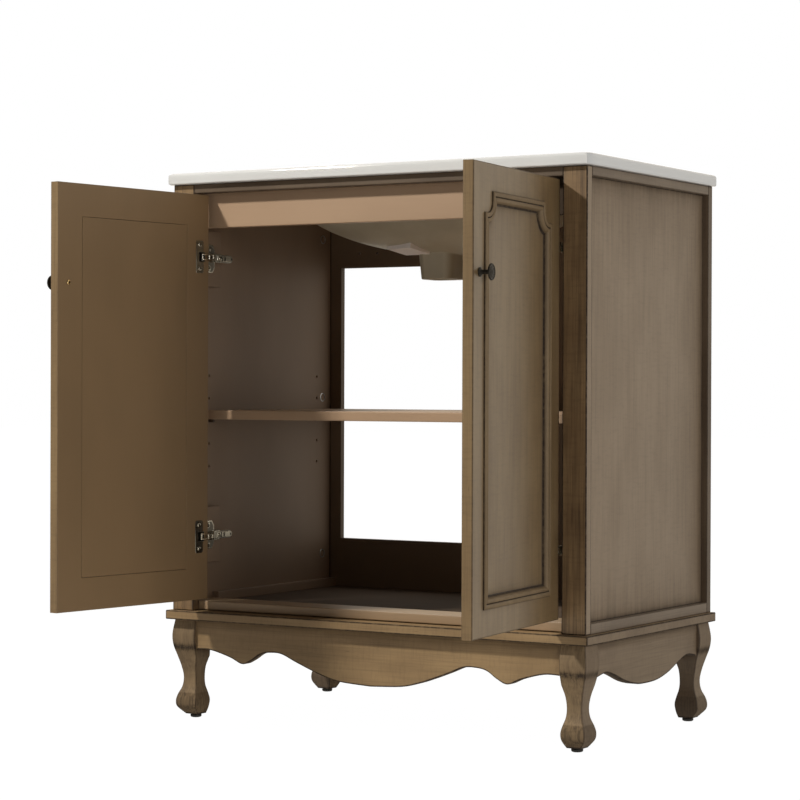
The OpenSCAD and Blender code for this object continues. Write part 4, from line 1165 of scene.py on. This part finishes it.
# A hinge's own sizes: the cup's plate, the space in the door behind it, the links, the arm's cheeks
# and the screws
PLATE_X, PLATE_HALF_H, PLATE_T = (301.5, 319.0), 26.0, 0.9
SPACE_X, SPACE_HALF_H, SPACE_DEPTH = (308.4, 322.8), 7.8, 9.5
LINK_PATH = np.array([[0, 0], [-11.5, -16], [-10.5, -25], [-4.5, -35.5]]) + pin_at
LINK_HALF_W, LINK_OUT, LINK_T = 2.1, 5.2, 2.2
KNUCKLE_HALF, KNUCKLE_R, PIN_R = 5.3, 4.4, 2.0
CHEEK_OUT, CHEEK_T = 7.2, 1.5
ARM_END = high("hinge_arms")[1]
CUP_SCREW_Z, CUP_SCREW_R, CUP_SCREW_H = 19.0, 3.3, 1.5
SCREW_R, SCREW_H = 3.75, 2.0
SPACE_ROOM = 0.3


def cup_spaces():
    """The cutter for the cups' spaces: a box round each cup, a little larger than it."""
    shell = Shell()
    room = SPACE_ROOM
    across = box_outline(SPACE_X[0] - room, SPACE_X[1] + room, inner_y - SPACE_DEPTH - room, inner_y + 3)
    for z in hinge_zs:
        slab(shell, across, 2, z - SPACE_HALF_H - room, z + SPACE_HALF_H + room, 0.01)
    return shell


def paired(shell, outline, z, out, thick, bevel=0.4):
    """Two plates on a hinge, above and below its middle, whose outer faces lie out from it."""
    for way in (-1, 1):
        lo, hi = sorted((z + way * out, z + way * (out - thick)))
        slab(shell, outline, 2, lo, hi, bevel)


def hinge_cup(shell, z):
    """A wing plate with a mouth at its outer side, screws, and a pressed cup with thin walls."""
    x0, x1 = PLATE_X
    m0, h = SPACE_X[0], SPACE_HALF_H
    outline = up_and_down([[x0, -23], [x0 + 2.2, -PLATE_HALF_H], [x1 - 2, -PLATE_HALF_H], [x1, -23],
                           [x1, -h], [m0, -h]])
    slab(shell, outline + (0, z), 1, inner_y, inner_y + PLATE_T, 0.2)
    floor_y, wall = inner_y - SPACE_DEPTH, 0.5
    rows = []
    for inset, y in ((0, floor_y), (0, inner_y + 0.3), (wall, inner_y + 0.3), (wall, floor_y + wall)):
        x_lo, x_hi = SPACE_X[0] + inset, SPACE_X[1] - inset
        z_lo, z_hi = z - h + inset, z + h - inset
        rows.append(np.array([[x_lo, y, z_lo], [x_hi, y, z_lo], [x_hi, y, z_hi], [x_lo, y, z_hi]]))
    # The line marks paint shade inside the cup
    shell.grid(np.array(rows), np.array([0.5, 0.2, 0.4, 1.0])[:, None], around=True)
    shell.face(rows[0], 0.5).face(rows[-1], 1.0)
    for way in (-1, 1):
        screw_head(shell, ((x0 + x1) / 2 - 0.5, inner_y + PLATE_T - 0.1, z + way * CUP_SCREW_Z), 1, 1,
                   CUP_SCREW_R, CUP_SCREW_H)


def screw_head(shell, centre, axis, sign, radius=SCREW_R, height=SCREW_H):
    """A domed head with a cross-shaped recess."""
    r, h = radius, height
    profile = [(0, -0.6), (r - 0.1, -0.6), (r, 0), (r * 0.98, h * 0.45), (r * 0.8, h * 0.85),
               (r * 0.55, h), (r * 0.42, h), (r * 0.3, h * 0.35), (0, h * 0.3)]
    # The line marks paint shade in the recess
    lathe(shell, profile, centre, axis, sign, [0, 0, 0.4, 0, 0, 0, 0.5, 1, 1], 24,
          [0, 0, 0, 0, 0, 0.1, 0.35, 0.45, 0])


def hinge_links(side, s):
    """The links: two bars on each hinge along one path, with a pin across each knuckle."""
    shell = Shell()
    for z in hinge_zs:
        paired(shell, ribbon(LINK_PATH, LINK_HALF_W), z, LINK_OUT, LINK_T)
        for x, y in LINK_PATH[1:]:
            rod(shell, (x, y, 0), 2, z - KNUCKLE_HALF, z + KNUCKLE_HALF, PIN_R, 16)
        r, h = KNUCKLE_R, 2 * KNUCKLE_HALF
        lathe(shell, [(0, 0), (r - 0.3, 0), (r, 0.4), (r, h - 0.4), (r - 0.3, h), (0, h)],
              (*pin_at, z - KNUCKLE_HALF), 2, 1, steps=24)
    fit(shell.build(side + "_hinge_bars", mirrored(s)), nickel, side + "_links", side + "_hinge_links")


KNOB_X, KNOB_Z = door_x0 + 21.5, door_z0 + 497


def knob(side, s):
    """A turned base, a thin neck and a flat head with two rings."""
    profile = [(0, 0), (6.5, 0), (6.5, 1.3), (5.9, 2.0), (4.4, 2.5), (3.3, 3.8), (2.9, 7), (2.9, 11),
               (3.3, 13.6), (4.8, 14.9), (7.8, 15.7), (10.7, 16.1), (11.6, 16.8), (11.7, 17.7), (11.3, 18.6),
               (10.4, 19.1), (9.4, 18.8), (8.7, 18.2), (7.9, 18.4), (6.6, 19.2), (5.2, 19.3), (4.6, 18.9),
               (3.9, 19.1), (2.2, 19.8), (0, 20)]
    shell = lathe(Shell(), profile, (KNOB_X, face_y, KNOB_Z), steps=48)
    fit(shell.build(side + "_pull", on_door(s)), bronze, side + "_door", side + "_knob")
    shell = Shell()
    screw_head(shell, (KNOB_X, inner_y, KNOB_Z), 1, 1)
    fit(shell.build(side + "_pull_screw", on_door(s)), brass, side + "_door", side + "_knob_screw")


for side, s in SIDES:
    door_frame(side, s)
    door_panel(side, s)
    door_moulding(side, s)
    cups = Shell()
    for z in hinge_zs:
        hinge_cup(cups, z)
    fit(cups.build(side + "_cup_plates", on_door(s)), nickel, side + "_door", side + "_hinge_cups")
    hinge_links(side, s)
    knob(side, s)

# The hinges' fixed side

ARM_HALF, BLOCK_H = 6.2, 91.0
PLATE_SCREW_Z, BLOCK_SCREW_Z = 16.0, 37.5
block_low, block_high = low("hinge_blocks"), high("hinge_blocks")
plate_y0, plate_y1 = low("hinge_plates")[1], high("hinge_plates")[1]
PLATE_TOP_X = opening_x - 2.0
screw_y = (plate_y0 + plate_y1) / 2 - 1


def hinge_arm(shell, z):
    """A folded arm with a round end, two cheeks that hold the pin, its foot, a screw, and thin dark plates
    that paint the shade of its slot.
    """
    x0 = pin_at[0] + 1.4
    arm = stadium(pin_at[1] + 5, ARM_END, ARM_HALF) + (0, z)
    slab(shell, arm, 0, x0, x0 + 7.4, 1.0, 0.35)
    inner = stadium(pin_at[1] + 14, ARM_END - 1.6, ARM_HALF - 1.8) + (0, z)
    slab(shell, inner, 0, x0 - 0.7, x0 + 1, 0.4)
    cheek = np.array([[-4.4, 0], [-3.4, -3], [0, -4.4], [3.6, -3], [8.8, 4], [8.8, 22], [0.5, 22],
                      [-1.5, 12], [-3.6, 3]]) + pin_at
    paired(shell, cheek, z, CHEEK_OUT, CHEEK_T, 0.3)
    slab(shell, box_outline(x0 + 6, PLATE_TOP_X, plate_y0 + 8, plate_y1 + 1), 2, z - 5.2, z + 5.2, 0.6)
    screw_head(shell, (x0 - 0.6, plate_y0 + 26, z), 0, -1, 3.2, 1.3)
    # Thin dark plates on the arm's face: painted shade where its slot and holes are
    for y, wide, tall in ((0.4, 1.6, 4.2), (0.56, 2.0, 3.4), (0.9, 1.5, 2.0)):
        y = between(pin_at[1] + 5, ARM_END, y)
        slab(shell, box_outline(y - wide, y + wide, z - tall, z + tall), 0, x0 - 0.9, x0 - 0.6, 0.1, 1.0)


for side, s in SIDES:
    arms, plates, screws = Shell(), Shell(), Shell()
    for z in hinge_zs:
        hinge_arm(arms, z)
        wing = up_and_down([[plate_y0, -ARM_HALF], [plate_y0 + 1, -15], [plate_y0 + 7, -23],
                            [plate_y1 - 7, -23], [plate_y1 - 1, -15], [plate_y1, -ARM_HALF]]) + (0, z)
        slab(plates, wing, 0, PLATE_TOP_X, opening_x, 0.5)
        # An inner plate with a dark line mark: painted shade in the wing's recess
        slab(plates, shrink(anticlockwise(wing), 2.0), 0, PLATE_TOP_X - 0.25, PLATE_TOP_X + 0.2, 0.1, 0.75)
        for way in (-1, 1):
            screw_at = (PLATE_TOP_X, screw_y, z + way * PLATE_SCREW_Z)
            screw_head(screws, screw_at, 0, -1)
            screw_head(screws, (opening_x, block_low[1] + 14, z + way * BLOCK_SCREW_Z), 0, -1)
            lathe(plates, [(5.2, 0), (5.2, 0.8), (4.2, 0.8), (4.0, 0), (5.2, 0)], screw_at, 0, -1, steps=24)
    for kind, shell in (("arm", arms), ("plate", plates), ("screw", screws)):
        piece = shell.build("hinge_%s_pieces_%s" % (kind, side), mirrored(s))
        fit(piece, nickel, "cabinet", "hinge_%ss" % kind)
    for k, z in enumerate(hinge_zs):
        lo = np.array([opening_x, block_low[1], z - BLOCK_H / 2])
        hi = np.array([inner_x, block_high[1], z + BLOCK_H / 2])
        piece = board(lo, hi).build("hinge_block_%s_%d" % (side, k), mirrored(s))
        fit(piece, inner_board, "cabinet", "hinge_blocks")

cam_low, cam_high = low("cam_locks"), high("cam_locks")
CAM_R = 7.5
cam_y = (cam_low[1] + cam_high[1]) / 2
for side, s in SIDES:
    cams = Shell()
    for z in (cam_low[2] + CAM_R, pin_z + PIN_HOLE_STEP + 1, cam_high[2] - CAM_R):
        # The line marks paint shade in each disc's recess
        lathe(cams, [(0, -8), (7.4, -8), (7.5, 0.3), (7.1, 0.5), (6.2, 0.5), (5.9, -0.3), (4.6, -0.3),
                     (4.0, -0.2), (2.6, -1.6), (0, -1.6)],
              (inner_x - 0.1, cam_y, z), 0, -1, [0, 0, 0, 0, 0.2, 0.8, 0.6, 0.7, 1, 1], 32,
              [0, 0, 0, 0, 0, 0, 0, 0.3, 0.45, 0])
    fit(cams.build("cam_discs_" + side, mirrored(s)), zinc, "cabinet", "cam_locks")

brown_plastic = moulded("brown_plastic", srgb(88, 71, 54), 0.6)
CAD_FINISH = {"nickel": nickel, "zinc": zinc}
for node, o in frame["nodes"].items():
    if not o.hide_render and slot_of[node] in CAD_FINISH:
        o.data.materials.clear()
        o.data.materials.append(brown_plastic if node == "shelf_pins" else CAD_FINISH[slot_of[node]])


# Studio

SKY_BACK, SKY_FRONT = (0.5, 0.5, 0.5), (0.085, 0.085, 0.085)
# Each lamp's name, place, aim, size, power and tint
LAMPS = (("key", (-0.98, -1.07, 1.80), (0.0, -0.05, 0.5), 0.16, 39.0, (1.0, 0.955, 0.88)),
         ("fill", (3.0, -1.55, 0.9), (0.2, 0.0, 0.45), 1.2, 10.4, (1.0, 0.98, 0.97)))
EVEN_DISTANCE = 2.0
WHITE, WARM_WHITE = (1.0, 1.0, 1.0), (1.0, 0.92, 0.79)
FLOOR_TONE, FLOOR_GLOW, SEEN_SHARE, MIRROR_SHARE = (0.5, 0.5, 0.5), 1.05, 0.95, 0.76
# The camera's place, measured across from the worktop's front edge, its yaw, pitch and roll
CAMERA_AT, CAMERA_TURNS = (1.9607, -3.1158 + top_low[1] * MM, 0.5369), (31.364, -0.323, 0.2)
SENSOR_W, LENS = 36.0, 108.06


def studio_floor():
    """A pale floor that the camera sees as white, with the object's faint shadow."""
    paint = Paint(bpy.data.materials.new("studio_floor"))
    seen = paint.node("ShaderNodeLightPath", out=0)
    mirror = paint.node("ShaderNodeLightPath", out=3)
    glow = paint.node("ShaderNodeEmission", None, paint.blend(seen, WARM_WHITE, WHITE), FLOOR_GLOW)
    matt = paint.node("ShaderNodeBsdfDiffuse", None, FLOOR_TONE)
    share = (seen * SEEN_SHARE).most(mirror * MIRROR_SHARE)
    mixed = paint.node("ShaderNodeMixShader", None, share, matt, glow)
    paint.tree.links.new(mixed.socket, paint.tree.nodes["Material Output"].inputs[0])
    bpy.ops.mesh.primitive_plane_add(size=40)
    floor = bpy.context.object
    floor.name = "studio_floor"
    floor.data.materials.append(paint.owner)


def studio_sky():
    """A sky that is white behind the object and dim before it; the camera sees plain white."""
    world = bpy.data.worlds.new("studio_sky")
    bpy.context.scene.world = world
    paint = Paint(world)
    _, y, _ = paint.axes(paint.node("ShaderNodeTexCoord", out=0))
    behind = y.rise(-0.5, 0.45)
    tone = paint.blend(behind, SKY_FRONT, SKY_BACK)
    path = paint.node("ShaderNodeLightPath")
    glossy = Value(paint, path.socket.node.outputs["Is Glossy Ray"])
    clear = Value(paint, path.socket.node.outputs["Is Transmission Ray"])
    tone = paint.blend(glossy.most(clear) * behind, tone, WARM_WHITE)
    tone = paint.blend(path, tone, WHITE)
    paint.set(paint.tree.nodes["Background"].inputs[0], tone)


def lamps():
    """Lamps whose light stays as strong at any distance as at two metres, so that a near lamp
    gives slanted shadows and even light."""
    for name, place, aim, size, power, tint in LAMPS:
        lamp = bpy.data.lights.new(name, "AREA")
        lamp.shape, lamp.size, lamp.energy, lamp.color = "DISK", size, power, tint
        lamp.use_nodes = True
        tree = lamp.node_tree
        fall = tree.nodes.new("ShaderNodeLightFalloff")
        fall.inputs["Strength"].default_value = 1 / EVEN_DISTANCE ** 2
        tree.links.new(fall.outputs["Constant"], tree.nodes["Emission"].inputs["Strength"])
        o = bpy.data.objects.new(name, lamp)
        bpy.context.scene.collection.objects.link(o)
        o.location = place
        o.rotation_euler = (Vector(aim) - Vector(place)).to_track_quat("-Z", "Y").to_euler()


def photo_camera():
    """The camera that the photograph's straight edges give, turned by yaw, pitch and roll."""
    yaw, pitch, roll = (math.radians(a) for a in CAMERA_TURNS)
    forward = np.array([-math.sin(yaw) * math.cos(pitch), math.cos(yaw) * math.cos(pitch),
                        math.sin(pitch)])
    right = np.array([math.cos(yaw), math.sin(yaw), 0])
    up = np.cross(right, forward)
    turned_right = math.cos(roll) * right + math.sin(roll) * up
    turned_up = -math.sin(roll) * right + math.cos(roll) * up
    lens = bpy.data.cameras.new("photo_camera")
    lens.sensor_width, lens.lens = SENSOR_W, LENS
    camera = bpy.data.objects.new("photo_camera", lens)
    bpy.context.scene.collection.objects.link(camera)
    turn = Matrix(np.stack([turned_right, turned_up, -forward], axis=1).tolist()).to_4x4()
    camera.matrix_world = Matrix.Translation(Vector(CAMERA_AT)) @ turn
    bpy.context.scene.camera = camera


studio_floor()
studio_sky()
lamps()
photo_camera()
bpy.context.scene.view_settings.view_transform = "Standard"
